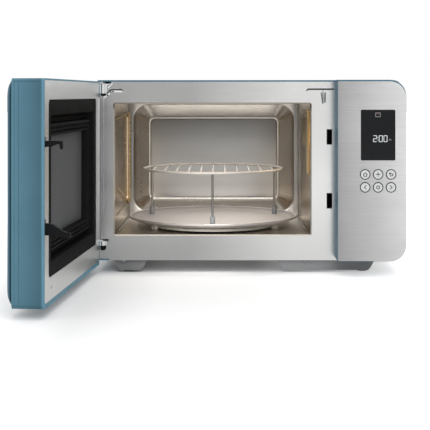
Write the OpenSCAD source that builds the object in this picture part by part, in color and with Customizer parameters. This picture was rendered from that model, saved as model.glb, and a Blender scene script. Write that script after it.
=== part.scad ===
// Countertop microwave oven with a side-hung door, shown with the door open.
// Millimetres, +Z up, the front faces -Y, +X is the control panel's side.
// The origin is the centre of the front left foot's sole.

/* [Cabinet] */
// Depth of the cabinet behind the face of its front frame
cab_d = 350; // [345:1:400]
// Height of the cabinet without its feet
cab_h = 283.5; // [276:0.5:320]
// Clear height under the cabinet
ground_gap = 20; // [16:1:26]
// Radius of the cabinet's long edges on the control panel's side
cab_r = 14; // [8:1:20]
// Radius of the cabinet's long edges on the hinge side
cab_r_hinge = 3; // [3:0.5:4]
// Thickness of the painted cover's sheet
cover_t = 1.2; // [0.8:0.1:1.6]
// Thickness of the folded hem at the cover's front edge
hem_t = 2.4; // [1.8:0.1:3]
// Thickness of the stainless and zinc-plated sheets
sheet_t = 1; // [0.8:0.1:1.2]

/* [Feet and base] */
// Diameter of a foot
foot_d = 20; // [16:1:24]
// Height of a foot below the pressed base
foot_h = 3.5; // [3:0.5:6]
// Distance of the front feet behind the front frame
foot_in_y = 30; // [25:1:50]
// Distance of the left feet from the cabinet's left side
foot_in_left = 48; // [42:1:56]
// Distance of the right feet from the right trough's edge
foot_in_right = 18; // [14:1:24]
// Width of the small pressed trough over the left feet
left_trough_w = 54; // [44:1:64]
// Width of the large pressed trough under the electrical bay
right_trough_w = 154; // [120:1:170]

/* [Cavity] */
// Width of the cavity's opening
cav_w = 309; // [290:1:315]
// Height of the frame's head above the opening
cav_head = 36.8; // [33:0.1:44]
// Depth of the cavity from the front frame to its back wall
cav_d = 295; // [292:1:310]
// Distance from the cabinet's left side to the opening
cav_left = 27; // [24:1:32]
// Width of the frame between the opening and the control panel
stile_w = 38; // [36:1:44]
// Height of the opening's sill above the cabinet's underside
cav_sill = 40; // [38:1:48]
// Depth of the dished recess in the back wall
dish_d = 30; // [15:1:36]
// Depth of the embossed field on the left wall
emboss_d = 1.5; // [1:0.5:3]

/* [Control panel] */
// Width of the control housing
panel_w = 106; // [100:1:112]
// How far the control housing stands out from the front frame
panel_d = 45; // [40:1:50]
// Radius of the control housing's outer corners
panel_r = 25; // [14:1:30]
// Thickness of the stainless fascia
fascia_t = 1; // [0.8:0.1:1.5]
// Width of the display window
disp_w = 53; // [44:0.2:60]
// Height of the display window
disp_h = 77.8; // [60:0.2:84]
// Distance from the fascia's top edge to the display window
disp_top = 43.5; // [30:0.1:50]
// Diameter of a push button
btn_d = 15.7; // [12:0.1:16]
// Distance between the buttons' centres
btn_pitch = 19.8; // [19:0.1:21]
// Distance from the display window down to the first row of buttons
btn_drop = 21.4; // [16:0.1:26]
// Travel of a push button
btn_travel = 0.8; // [0.5:0.1:1.2]

/* [Door] */
// Thickness of the door from its inner plate to its skin
door_t = 48; // [44:1:50]
// Thickness of the door's outer skin
skin_t = 6.5; // [6:0.5:10]
// How far the skin's face is crowned
crown = 1.5; // [1:0.1:2.5]
// Radius of the skin's corners
door_r = 24; // [14:1:24]
// How far the door hangs below the cabinet's underside
door_drop = 6.5; // [0:0.5:8]
// How far the door's top edge lies below the cabinet's top
door_top_gap = 2.1; // [1:0.1:4]
// Angle of the open door from its closed place
door_open = 94.5; // [80:0.5:110]
// Distance from the door's edges to the black choke frame at each side
choke_side = 23.6; // [22:0.1:30]
// Distance from the door's top edge to the choke frame
choke_above = 26.8; // [24:0.1:32]
// Distance from the door's bottom edge to the choke frame
choke_below = 35.2; // [30:0.1:40]
// Width of the choke frame's border at each side of the pane
pane_side = 49; // [46:1:60]
// Width of the choke frame's border above and below the pane
pane_end = 46.8; // [44:0.1:60]

/* [Hinge and latch] */
// Distance of the hinge axis from the cabinet's left side
hinge_in = 9; // [8:0.5:12]
// Diameter of a hinge pin
pin_d = 5; // [4:0.1:6]
// Width of a latch slot in the front frame
slot_w = 8.7; // [8:0.1:11]
// Height of a latch slot in the front frame
slot_h = 24.2; // [22:0.1:28]
// Height of the lower latch slot above the cabinet's underside
slot_low = 81.5; // [70:0.5:95]
// Distance between the bottoms of the two latch slots
slot_step = 100.5; // [80:0.5:110]
// Thickness of a latch hook
hook_t = 5.6; // [4:0.1:6]
// Upward travel of the latch lever
latch_lift = 2.6; // [1.5:0.1:3]

/* [Turntable and rack] */
// Diameter of the turntable tray
tray_d = 286; // [255:1:286]
// Thickness of the tray's floor
tray_t = 4; // [3:0.5:5]
// Height of the tray over its rim
tray_h = 9; // [8:0.5:14]
// Diameter of the circle that the rollers run on
track_d = 230; // [200:1:236]
// Diameter of a roller
roller_d = 10; // [8:0.5:12]
// Diameter of the wire rack
rack_d = 240; // [200:1:244]
// Height of the rack above the tray's floor
rack_h = 84; // [50:1:95]
// Thickness of the rack's ring and legs
rack_wire = 4; // [3:0.5:5]
// Thickness of the rack's bars
rack_bar = 2.6; // [2:0.2:3]
// Number of the rack's bars
rack_bars = 11; // [7:2:13]

/* [Clearances] */
// Gap between the closed door and what it faces
door_gap = 1; // [0.8:0.1:2]
// Gap between the closed door and the control housing
door_side_gap = 1.5; // [1:0.1:3]
// Gap between pieces that are laid in or against each other
seat_gap = 0.1; // [0.05:0.05:0.3]
// Gap between parts that move past each other
move_gap = 0.3; // [0.3:0.1:0.6]
// Radial running clearance of pins and shafts
run_gap = 0.05; // [0.02:0.01:0.1]

/* [Hidden] */
$fn = 48;
eps = 0.5;
blue = [0.38, 0.48, 0.53];
steel = [0.72, 0.72, 0.72];
warm_steel = [0.66, 0.62, 0.57];
zinc = [0.62, 0.64, 0.65];
black = [0.09, 0.09, 0.1];
dark_grey = [0.36, 0.36, 0.37];
copper = [0.72, 0.42, 0.22];

// The cabinet's planes
x_left = -foot_in_left;
x_right = x_left + cav_left + cav_w + stile_w + panel_w;
y_front = -foot_in_y;
y_back = y_front + cab_d;
z_bot = ground_gap;
z_top = z_bot + cab_h;
curl = 19;
right_trough_x1 = x_left + cav_left + cav_w + 102;
foot_x = [0, right_trough_x1 - foot_in_right];
foot_y = [0, y_back - foot_in_y];

// The cavity's planes
cav_x0 = x_left + cav_left;
cav_x1 = cav_x0 + cav_w;
cav_z0 = z_bot + cav_sill;
cav_z1 = z_top - cav_head;
cav_r = 1;
lip_d = 9;
lip_over = 1.5;
in_x0 = cav_x0 - lip_over;
in_x1 = cav_x1 + lip_over;
floor_z = cav_z0 - 4;
roof_z = cav_z1 + 4;
back_y = y_front + cav_d;
tray_y = y_front + cav_d / 2 + 2.5;
tray_x = (cav_x0 + cav_x1) / 2;

// The electrical bay between the cavity and the cabinet's right side
bay_x0 = in_x1 + sheet_t;
bay_x1 = x_right - cover_t;
bay_y1 = y_back - sheet_t;

// The door, described closed, about its hinge axis
hinge_x = x_left + hinge_in;
hinge_back = 4;
hinge_y = y_front + hinge_back;
door_in = -(hinge_back + door_gap);
door_out = door_in - door_t;
skin_y = door_out + skin_t;
door_x0 = -hinge_in;
door_x1 = x_right - panel_w - door_side_gap - hinge_x;
door_z0 = z_bot - door_drop;
door_z1 = z_top - door_top_gap;
swing_x = 5.3;
swing_y = door_in - 5;
rim_side = 3;
rim_top = 2.2;
rim_bottom = 6.2;
wall = 3;
choke_x0 = swing_x + choke_side;
choke_x1 = door_x1 - choke_side;
choke_z0 = door_z0 + choke_below;
choke_z1 = door_z1 - choke_above;
pane_x0 = choke_x0 + pane_side;
pane_x1 = choke_x1 - pane_side;
pane_z0 = choke_z0 + pane_end - 1.3;
pane_z1 = choke_z1 - pane_end - 1.3;
win_over = 34;

// The latch
slot_z = [z_bot + slot_low, z_bot + slot_low + slot_step];
hook_in = 6.9;
hook_x = door_x1 - hook_in;
slot_x = hinge_x + hook_x;
latch_half = slot_w / 2 + 3;
pocket_d = 36;
latch_top = slot_z[1] + slot_h + 10;
// Bottom and top of each hook's arm where it leaves the door
hook_span = [[slot_z[0] + 4.5, slot_z[0] + 18.8], [slot_z[1] + 13.8, slot_z[1] + 21.2]];
bar_y = door_in - sheet_t - move_gap;
bar_top = hook_span[1][1] + 8;
spring_wire = 0.5;
spring_z0 = bar_top + spring_wire + seat_gap;
spring_z1 = spring_z0 + 18;

// The hinge's lugs
lug_r = 4.4;
lug_top_z = [z_top - 21, z_top - 5.5];
lug_low_z = [z_bot + 23, z_bot + 30];
arm_t = 2.5;
arm_w = 3.6;
arm_x = swing_x + 0.1;
notch_x0 = hinge_x - 7;
notch_x1 = hinge_x + 6.9;

// The control panel
house_x0 = x_right - panel_w;
house_y = y_front - panel_d + fascia_t;
house_t = 2;
house_x1 = x_right - 1;
house_z0 = z_bot + 5;
fas_x0 = house_x0 + 0.4;
fas_x1 = house_x1 - 0.4;
fas_z0 = house_z0 + 0.6;
fas_z1 = z_top - 2.4;
disp_x0 = fas_x0 + 34.8;
disp_z1 = fas_z1 - disp_top;
disp_z0 = disp_z1 - disp_h;
btn_x = disp_x0 + disp_w / 2;
btn_z = disp_z0 - btn_drop;
board_y = house_y + 26;
disp_lip = 3;

// The turntable
roller_z = floor_z + move_gap + roller_d / 2;
tray_z = roller_z + roller_d / 2 + move_gap;
tray_top = tray_z + tray_t;
sleeve_d = 8.6;
sleeve_h = 14;
rack_z = tray_top + rack_h;
leg_angles = [-90, 24.7, 155.3];
wheel_angles = [93.6, 213.6, 333.6];

// The fan, the magnetron and what goes with them
fan_x = bay_x1 - 68;
fan_z = z_bot + 150;
fan_r = 46;
fan_y = bay_y1 - 30;
mag_x = bay_x0 + 58;
mag_y = y_front + 130;
mag_z = z_bot + 98;
mag_h = 72;
guide_z0 = mag_z + mag_h + 6;
guide_z1 = guide_z0 + 44;
trough_t = 1.2;
trough_z = foot_h + trough_t;
trafo_x = bay_x0 + 44;
trafo_y = y_front + 150;
gland_x = x_right - 34;
gland_z = z_bot + 36;
gland_r = 9;
cord_r = 4.2;
lamp_z = latch_top + 11.5;
lamp_y = y_front + 42;
duct_x1 = slot_x - latch_half - 0.4;
motor_d = 50;
bulb_r = 6.5;

// Where the six buttons stand, from the middle: column and row
BUTTONS = [[-1, 0], [0, 0], [1, 0], [-1, 1], [0, 1], [1, 1]];

// ---- Shared shapes ----

// A rounded rectangle between two corners
module rounded_rect(x0, z0, x1, z1, r) {
  translate([x0 + r, z0]) square([x1 - x0 - 2 * r, z1 - z0]);
  translate([x0, z0 + r]) square([x1 - x0, z1 - z0 - 2 * r]);
  for (x = [x0 + r, x1 - r], z = [z0 + r, z1 - r]) translate([x, z]) circle(r);
}

// A flat shape in X and Z, thickened along +Y from y0
module plate_xz(y0, t) {
  translate([0, y0 + t, 0]) rotate([90, 0, 0]) linear_extrude(t) children();
}

// A flat shape in Y and Z, thickened along +X from x0
module plate_yz(x0, t) {
  translate([x0, 0, 0]) rotate([90, 0, 90]) linear_extrude(t) children();
}

// A box between two opposite corners
module box(a, b) {
  translate(a) cube(b - a);
}

// A cylinder along Y from y0
module rod_y(x, y0, z, r, length) {
  translate([x, y0, z]) rotate([-90, 0, 0]) cylinder(r = r, h = length);
}

// Places a piece that is described on the closed door
module on_door() {
  translate([hinge_x, hinge_y, 0]) rotate([0, 0, -door_open]) children();
}

// The cabinet's cross-section, taken in by an inset
module cabinet_section(inset) {
  middle = (x_left + x_right) / 2;
  rounded_rect(x_left + inset, z_bot + inset, middle + 1, z_top - inset, max(cab_r_hinge - inset, 0.4));
  rounded_rect(middle - 2 * cab_r, z_bot + inset, x_right - inset, z_top - inset, cab_r - inset);
}

// ---- Cabinet ----

// Painted wrapper: top, sides and curled lower edges, with a hem in front
module outer_cover() {
  vent_w = 3;
  color(blue) difference() {
    union() {
      plate_xz(y_front, cab_d) difference() {
        cabinet_section(0);
        cabinet_section(cover_t);
      }
      plate_xz(y_front, 12) difference() {
        cabinet_section(0);
        cabinet_section(hem_t);
      }
    }
    box([x_left + curl, y_front - eps, z_bot - eps], [x_right - curl, y_back + eps, z_bot + hem_t + eps]);
    for (row = [0, 1], i = [0:11])
      box([x_right - cover_t - eps, y_back - 150 + i * 9, z_top - 90 - row * 34],
          [x_right + eps, y_back - 150 + i * 9 + vent_w, z_top - 64 - row * 34]);
    for (i = [0:9])
      box([x_left - eps, y_back - 120 + i * 9, z_bot + 40],
        [x_left + cover_t + eps, y_back - 120 + i * 9 + vent_w, z_bot + 66]);
  }
}

// Zinc-plated back with fan vents and the cord's opening
module rear_panel() {
  color(zinc) difference() {
    plate_xz(y_back - sheet_t, sheet_t) cabinet_section(cover_t + seat_gap);
    for (i = [-5:5])
      box([fan_x + i * 7 - 1.8, y_back - 2 * sheet_t, fan_z - 36 + abs(i) * 3],
          [fan_x + i * 7 + 1.8, y_back + eps, fan_z + 36 - abs(i) * 3]);
    for (i = [0:11])
      box([cav_x0 + 40 + i * 10, y_back - 2 * sheet_t, z_top - 44],
        [cav_x0 + 44 + i * 10, y_back + eps, z_top - 22]);
    rod_y(gland_x, y_back - 2 * sheet_t, gland_z, gland_r - 2, 4 * sheet_t);
  }
}

// Cross-section of a pressed trough with chamfered lower corners
module trough_section(x0, x1, inset) {
  low = foot_h + inset;
  top = z_bot + sheet_t;
  slope = 7;
  corner = 4;
  polygon([
    [x0 + inset, top], [x0 + inset + slope, low + corner], [x0 + inset + slope + corner, low],
    [x1 - inset - slope - corner, low], [x1 - inset - slope, low + corner], [x1 - inset, top]
  ]);
}

// Pressed base with a trough over each pair of feet
module base_plate() {
  y0 = y_front + 6;
  y1 = y_back - 12;
  troughs = [
    [foot_x[0] - left_trough_w / 2 + 4, foot_x[0] + left_trough_w / 2 + 4],
    [right_trough_x1 - right_trough_w, right_trough_x1]
  ];
  color(dark_grey) {
    difference() {
      union() {
        box([x_left + curl + seat_gap, y_front + sheet_t + seat_gap, z_bot],
            [x_right - curl - seat_gap, bay_y1 - seat_gap, z_bot + sheet_t]);
        for (t = troughs) plate_xz(y0, y1 - y0) trough_section(t[0], t[1], 0);
      }
      for (t = troughs) {
        plate_xz(y0 + trough_t, y1 - y0 - 2 * trough_t) trough_section(t[0], t[1], trough_t);
        box([t[0] + trough_t, y0 + trough_t, z_bot - eps],
          [t[1] - trough_t, y1 - trough_t, z_bot + 3 * sheet_t]);
      }
      for (x = foot_x, y = foot_y) translate([x, y, 0]) cylinder(d = 6, h = ground_gap);
    }
  }
}

// Four moulded feet, each pushed through the base
module feet() {
  color(black) for (x = foot_x, y = foot_y) translate([x, y, 0]) {
    cylinder(d1 = foot_d - 1.5, d2 = foot_d, h = foot_h - 1);
    translate([0, 0, foot_h - 1]) cylinder(d = foot_d, h = 1);
    cylinder(d = 6 - 2 * seat_gap, h = foot_h + 4);
  }
}

// Pan-head screws that hold the cover to the back
module cover_screws() {
  spots = [
    [x_left + 60, z_top - 9], [(x_left + x_right) / 2, z_top - 9], [x_right - 60, z_top - 9],
    [x_left + 9, z_bot + 70], [x_left + 9, z_top - 80], [x_right - 9, z_bot + 70],
      [x_right - 9, z_top - 80]
  ];
  color(zinc) for (s = spots) {
    rod_y(s[0], y_back, s[1], 3.6, 1.6);
    rod_y(s[0], y_back + 1.6, s[1], 2.4, 0.6);
  }
}

// Stainless front frame with the cavity's opening and its inward lip
module front_frame() {
  color(steel) difference() {
    union() {
      plate_xz(y_front, sheet_t) cabinet_section(hem_t + seat_gap);
      box([x_left + curl + seat_gap, y_front, z_bot],
        [x_right - curl - seat_gap, y_front + sheet_t, z_bot + 2 * hem_t]);
      // Strip that stiffens the sheet behind the latch slots
      box([slot_x - latch_half, y_front, slot_z[0] - 10],
        [slot_x + latch_half, y_front + 2 * sheet_t, latch_top]);
    }
    plate_xz(y_front - eps, sheet_t + 2 * eps) rounded_rect(cav_x0, cav_z0, cav_x1, cav_z1, cav_r);
    for (z = slot_z)
      box([slot_x - slot_w / 2, y_front - eps, z],
        [slot_x + slot_w / 2, y_front + 2 * sheet_t + eps, z + slot_h]);
    // Open corner and pocket round the upper hinge
    box([notch_x0, y_front - eps, lug_top_z[0] - 5], [notch_x1, y_front + 2 * sheet_t, z_top]);
    plate_xz(y_front - eps, sheet_t + 2 * eps) polygon([
      [notch_x1 - 1, z_top], [notch_x1 - 1, z_top - 9.5], [notch_x1, z_top - 9.5],
      [notch_x1 + 7.3, z_top - hem_t], [notch_x1 + 7.3, z_top]
    ]);
    // Pocket round the lower hinge, with a slot for its arm
    box([notch_x0, y_front - eps, lug_low_z[0] - 1],
      [notch_x1, y_front + 2 * sheet_t, lug_low_z[1] + 3.5]);
    box([notch_x0, y_front - eps, lug_low_z[1]],
        [hinge_x + arm_x + arm_w + move_gap, y_front + 2 * sheet_t, lug_low_z[1] + arm_t + 2 * move_gap]);
    rod_y(hinge_x - 0.2, y_front - eps, lug_low_z[0] - 1, 6.6, sheet_t + 2 * eps);
    // Folded groove beside the control housing
    box([slot_x - 36, y_front - eps, z_top - 16], [house_x0 - 1, y_front + 0.5, z_top - 13]);
    // Wiring window behind the control housing
    box([house_x0 + 22, y_front - eps, z_bot + 60], [x_right - 30, y_front + 2 * sheet_t, z_top - 60]);
  }
}

// ---- Cavity ----

// Left wall with a raised field pressed outward
module cavity_left_wall() {
  field = [y_front + 42, floor_z + 28, back_y - 22, roof_z - 24];
  color(warm_steel) {
    difference() {
      box([in_x0 - sheet_t, y_front + sheet_t, floor_z], [in_x0, back_y, roof_z]);
      plate_yz(in_x0 - 2 * sheet_t, 3 * sheet_t) rounded_rect(field[0], field[1], field[2], field[3], 12);
    }
    difference() {
      plate_yz(in_x0 - sheet_t - emboss_d, sheet_t + emboss_d)
        rounded_rect(field[0] - sheet_t, field[1] - sheet_t, field[2] + sheet_t, field[3] + sheet_t, 13);
      plate_yz(in_x0 - emboss_d, 2 * emboss_d) rounded_rect(field[0], field[1], field[2], field[3], 12);
    }
    // Return behind the opening's edge
    box([in_x0 - eps, y_front + sheet_t, cav_z0 + cav_r], [cav_x0, y_front + lip_d, cav_z1 - cav_r]);
  }
}

// Right wall with the lamp's perforations and the waveguide's window
module cavity_right_wall() {
  hole_pitch = 5;
  color(warm_steel) difference() {
    union() {
      box([in_x1, y_front + sheet_t, floor_z], [in_x1 + sheet_t, back_y, roof_z]);
      // Return behind the opening's edge
      box([cav_x1, y_front + sheet_t, cav_z0 + cav_r], [in_x1 + eps, y_front + lip_d, cav_z1 - cav_r]);
    }
    for (i = [0:3], k = [0:20])
      translate([in_x1 - sheet_t, lamp_y - 7.5 + i * hole_pitch, roof_z - 20 - k * hole_pitch])
        rotate([0, 90, 0]) cylinder(d = 3, h = 3 * sheet_t, $fn = 16);
    plate_yz(in_x1 - sheet_t, 3 * sheet_t)
      rounded_rect(mag_y - 40, guide_z0 + 6, mag_y + 40, guide_z1 - 6, 4);
  }
}

// Roof with slots below the grill elements
module cavity_roof() {
  color(warm_steel) difference() {
    union() {
      box([in_x0 - sheet_t, y_front + sheet_t, roof_z], [in_x1 + sheet_t, back_y, roof_z + sheet_t]);
      // Return behind the opening's edge
      box([cav_x0 + cav_r, y_front + sheet_t, cav_z1], [cav_x1 - cav_r, y_front + lip_d, roof_z + eps]);
    }
    for (row = [0, 1], i = [0:15])
      box([tray_x - 84 + i * 11, tray_y - 50 + row * 60, roof_z - eps],
          [tray_x - 79 + i * 11, tray_y - 12 + row * 60, roof_z + 2 * sheet_t]);
  }
}

// Floor with a shallow pressed disc for the roller ring and the shaft's hole
module cavity_floor() {
  disc_r = track_d / 2 + 12;
  color(warm_steel) difference() {
    union() {
      box([in_x0 - sheet_t, y_front + sheet_t, floor_z - sheet_t], [in_x1 + sheet_t, back_y, floor_z]);
      translate([tray_x, tray_y, floor_z - sheet_t]) cylinder(r = disc_r + 2, h = sheet_t);
      // Return behind the opening's edge
      box([cav_x0 + cav_r, y_front + sheet_t, floor_z - eps], [cav_x1 - cav_r, y_front + lip_d, cav_z0]);
    }
    translate([tray_x, tray_y, floor_z - 2 * sheet_t]) cylinder(d = 9, h = 4 * sheet_t);
    translate([tray_x, tray_y, floor_z - 0.4]) difference() {
      cylinder(r = disc_r + 2, h = 1);
      translate([0, 0, -1]) cylinder(r = disc_r, h = 3);
    }
  }
}

// One layer of the dish in the back wall: a rounded frustum
module dish_body(inset, y0, y1) {
  taper_x = 30;
  low = 20;
  high = 25;
  hull() {
    plate_xz(y0, 0.01)
      rounded_rect(in_x0 + 4 + inset, floor_z + 9 + inset, in_x1 - 4 - inset, roof_z - 9 - inset, 28,
        $fn = 32);
    plate_xz(y1, 0.01) rounded_rect(in_x0 + 4 + taper_x + inset, floor_z + 9 + low + inset,
      in_x1 - 4 - taper_x - inset, roof_z - 9 - high - inset, 11, $fn = 32);
  }
}

// Back wall with a dished recess behind the tray
module cavity_back() {
  color(warm_steel) difference() {
    union() {
      box([in_x0 - sheet_t, back_y, floor_z - sheet_t],
        [in_x1 + sheet_t, back_y + sheet_t, roof_z + sheet_t]);
      dish_body(-sheet_t, back_y + sheet_t / 2, back_y + dish_d + sheet_t);
    }
    dish_body(0, back_y - 0.02, back_y + dish_d);
  }
}

// ---- Heating and cooling ----

// Sheet-metal duct that leads the microwaves to the cavity's window
module waveguide() {
  color(zinc) difference() {
    box([bay_x0 + seat_gap, mag_y - 48, guide_z0], [mag_x + 30, mag_y + 48, guide_z1]);
    box([bay_x0 - eps, mag_y - 48 + sheet_t, guide_z0 + sheet_t],
        [mag_x + 30 - sheet_t, mag_y + 48 - sheet_t, guide_z1 - sheet_t]);
    translate([mag_x, mag_y, guide_z0 - eps]) cylinder(r = 11, h = 3);
  }
}

// Mica sheet over the waveguide's window, inside the cavity
module waveguide_cover() {
  color([0.72, 0.66, 0.54]) plate_yz(in_x1 - 0.6 - seat_gap, 0.6)
    rounded_rect(mag_y - 50, guide_z0, mag_y + 50, guide_z1, 5);
}

// Magnetron: finned body in a yoke, with its antenna up into the waveguide
module magnetron() {
  half = 40;
  color(zinc) {
    for (z = [mag_z, mag_z + mag_h - 2])
      box([mag_x - half, mag_y - half, z], [mag_x + half, mag_y + half, z + 2]);
    for (x = [mag_x - half, mag_x + half - 2])
      box([x, mag_y - half, mag_z], [x + 2, mag_y + half, mag_z + mag_h]);
    for (i = [1:7]) translate([mag_x, mag_y, mag_z + i * mag_h / 8 - 0.5]) cylinder(r = 30, h = 1);
    translate([mag_x, mag_y, mag_z]) cylinder(r = 17, h = mag_h + 5.5);
    translate([mag_x, mag_y, mag_z + mag_h]) cylinder(r = 9.5, h = 30);
    box([mag_x - 16, mag_y - half - 14, mag_z + 8], [mag_x + 16, mag_y, mag_z + 34]);
  }
}

// Laminated core of the high-voltage transformer, on its foot plate
module transformer_core() {
  color([0.3, 0.31, 0.33]) difference() {
    union() {
      box([trafo_x - 38, trafo_y - 26, trough_z + 2], [trafo_x + 38, trafo_y + 26, trough_z + 72]);
      box([trafo_x - 42, trafo_y - 26, trough_z], [trafo_x + 42, trafo_y + 26, trough_z + 2]);
    }
    for (side = [-1, 1])
      box([trafo_x + side * 19 - 7, trafo_y - 30, trough_z + 16],
        [trafo_x + side * 19 + 7, trafo_y + 30, trough_z + 58]);
  }
}

// Two windings that fill the core's windows
module transformer_windings() {
  coils = [[trough_z + 16, trough_z + 35], [trough_z + 39, trough_z + 58]];
  color(copper) for (c = coils) difference() {
    box([trafo_x - 26 + seat_gap, trafo_y - 42, c[0]], [trafo_x + 26 - seat_gap, trafo_y + 42, c[1]]);
    box([trafo_x - 12 - seat_gap, trafo_y - 26 - seat_gap, c[0] - eps],
      [trafo_x + 12 + seat_gap, trafo_y + 26 + seat_gap, c[1] + eps]);
  }
}

// Oval high-voltage capacitor with two terminals
module hv_capacitor() {
  cx = trafo_x;
  cy = bay_y1 - 50;
  color([0.75, 0.76, 0.77]) {
    translate([cx, cy, trough_z]) linear_extrude(52) {
      square([26, 30], center = true);
      for (s = [-1, 1]) translate([s * 13, 0]) circle(15);
    }
    for (s = [-1, 1]) translate([cx + s * 10, cy, trough_z + 52]) cylinder(d = 5, h = 8);
  }
}

// Fan housing: a square plate with a round throat, screwed to the back
module fan_shroud() {
  half = 56;
  color(black) difference() {
    union() {
      box([fan_x - half, bay_y1 - 6, fan_z - half], [fan_x + half, bay_y1 - seat_gap, fan_z + half]);
      rod_y(fan_x, fan_y - 8, fan_z, fan_r + 5, bay_y1 - fan_y + 7);
    }
    rod_y(fan_x, fan_y - 9, fan_z, fan_r + 2, bay_y1 - fan_y + 12);
  }
}

// Shaded-pole fan motor on a three-legged strap
module fan_motor() {
  color([0.42, 0.38, 0.34]) {
    difference() {
      union() {
        box([fan_x - 24, fan_y - 34, fan_z - 20], [fan_x + 24, fan_y - 16, fan_z + 20]);
        box([fan_x - fan_r - 5, fan_y - 16, fan_z - 5], [fan_x + fan_r + 5, fan_y - 13, fan_z + 5]);
      }
      rod_y(fan_x, fan_y - 30, fan_z, 2.5 + run_gap, 40);
    }
    for (s = [-1, 1])
      box([fan_x + s * (fan_r + 3.5) - 1.5, fan_y - 13, fan_z - 5],
        [fan_x + s * (fan_r + 3.5) + 1.5, fan_y - 8, fan_z + 5]);
  }
}

// Seven-bladed fan on its shaft
module fan_blade() {
  color([0.85, 0.85, 0.82]) {
    rod_y(fan_x, fan_y - 29, fan_z, 2.5, 31);
    rod_y(fan_x, fan_y - 6, fan_z, 11, 22);
    for (a = [0:360 / 7:359]) translate([fan_x, fan_y + 5, fan_z]) rotate([0, a, 0]) translate([26, 0, 0])
      rotate([35, 0, 0]) cube([34, 20, 1.6], center = true);
  }
}

// Reflector box over the grill elements
module grill_reflector() {
  color(zinc) difference() {
    box([tray_x - 96, tray_y - 62, roof_z + sheet_t + seat_gap],
      [tray_x + 104, tray_y + 62, roof_z + 21]);
    box([tray_x - 95, tray_y - 61, roof_z], [tray_x + 103, tray_y + 61, roof_z + 20]);
    for (s = [-1, 1], e = [-97, 102])
      translate([tray_x + e, tray_y + s * 30, roof_z + 10]) rotate([0, 90, 0]) cylinder(r = 6, h = 3);
  }
}

// Two quartz heating tubes with ceramic ends
module grill_elements() {
  color([0.86, 0.84, 0.8]) for (s = [-1, 1]) translate([tray_x - 98, tray_y + s * 30, roof_z + 10])
    rotate([0, 90, 0]) {
    cylinder(r = 4.5, h = 204);
    cylinder(r = 6 - seat_gap, h = 8);
    translate([0, 0, 196]) cylinder(r = 6 - seat_gap, h = 8);
  }
}

// Lamp holder on the duct's outer side
module lamp_holder() {
  x0 = duct_x1 + seat_gap;
  color([0.9, 0.88, 0.82]) difference() {
    box([x0, lamp_y - 12, lamp_z - 10], [x0 + 16, lamp_y + 12, lamp_z + 10]);
    translate([x0 - eps, lamp_y, lamp_z]) rotate([0, 90, 0]) cylinder(r = bulb_r + seat_gap, h = 12);
  }
}

// Small glass bulb in its holder
module lamp_bulb() {
  length = 19;
  color([1, 0.93, 0.7]) translate([duct_x1 + 11 - length, lamp_y, lamp_z]) rotate([0, 90, 0]) {
    cylinder(r = bulb_r, h = length);
    sphere(r = bulb_r);
  }
}

// Reflecting duct that spreads the lamp's light over the perforated field
module lamp_duct() {
  low = lamp_z - 102;
  high = lamp_z + 13;
  color([0.8, 0.78, 0.72]) difference() {
    box([bay_x0 + seat_gap, lamp_y - 14, low], [duct_x1, lamp_y + 14, high]);
    box([bay_x0 - eps, lamp_y - 12.5, low + 1.5], [duct_x1 - 1.5, lamp_y + 12.5, high - 1.5]);
    translate([duct_x1 - 3, lamp_y, lamp_z]) rotate([0, 90, 0]) cylinder(r = bulb_r + seat_gap, h = 6);
  }
}

// ---- Controls and supply ----

// Painted box of the control panel, open at the back
module panel_section(inset) {
  difference() {
    rounded_rect(house_x0 - 60 + inset, house_z0 + inset, house_x1 - inset, z_top - inset,
      panel_r - inset);
    translate([house_x0 - 80, z_bot - eps]) square([80 + inset, cab_h + 2 * eps]);
  }
}

module control_housing() {
  post_r = 3;
  color(blue) {
    difference() {
      plate_xz(house_y, y_front - house_y - seat_gap) panel_section(0);
      plate_xz(house_y + house_t, y_front - house_y) panel_section(house_t);
      plate_xz(house_y - eps, house_t + 2 * eps)
        rounded_rect(disp_x0 + disp_lip, disp_z0 + disp_lip, disp_x0 + disp_w - disp_lip,
          disp_z1 - disp_lip, 1);
      for (b = BUTTONS)
        rod_y(btn_x + b[0] * btn_pitch, house_y - eps, btn_z - b[1] * btn_pitch, btn_d / 2 + move_gap, 4);
    }
    for (x = [fas_x0 + 10, fas_x1 - 12], z = [fas_z0 + 48, fas_z1 - 20])
      rod_y(x, house_y + house_t, z, post_r, board_y - house_y - house_t);
  }
}

// Brushed stainless face of the control panel
module fascia_plate() {
  color(steel) difference() {
    plate_xz(house_y - fascia_t, fascia_t) difference() {
      rounded_rect(fas_x0 - 60, fas_z0, fas_x1, fas_z1, panel_r - 0.4);
      translate([fas_x0 - 80, fas_z0 - eps]) square([80, cab_h]);
    }
    plate_xz(house_y - 2 * fascia_t, 3 * fascia_t)
      rounded_rect(disp_x0, disp_z0, disp_x0 + disp_w, disp_z1, 2);
    for (b = BUTTONS)
      rod_y(btn_x + b[0] * btn_pitch, house_y - 2 * fascia_t, btn_z - b[1] * btn_pitch,
        btn_d / 2 + move_gap, 4);
  }
}

// Tinted window over the display
module display_window() {
  color(black) plate_xz(house_y - fascia_t - 0.4, fascia_t + 0.4)
    rounded_rect(disp_x0 + seat_gap, disp_z0 + seat_gap, disp_x0 + disp_w - seat_gap, disp_z1 - seat_gap,
      2);
}

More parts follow.
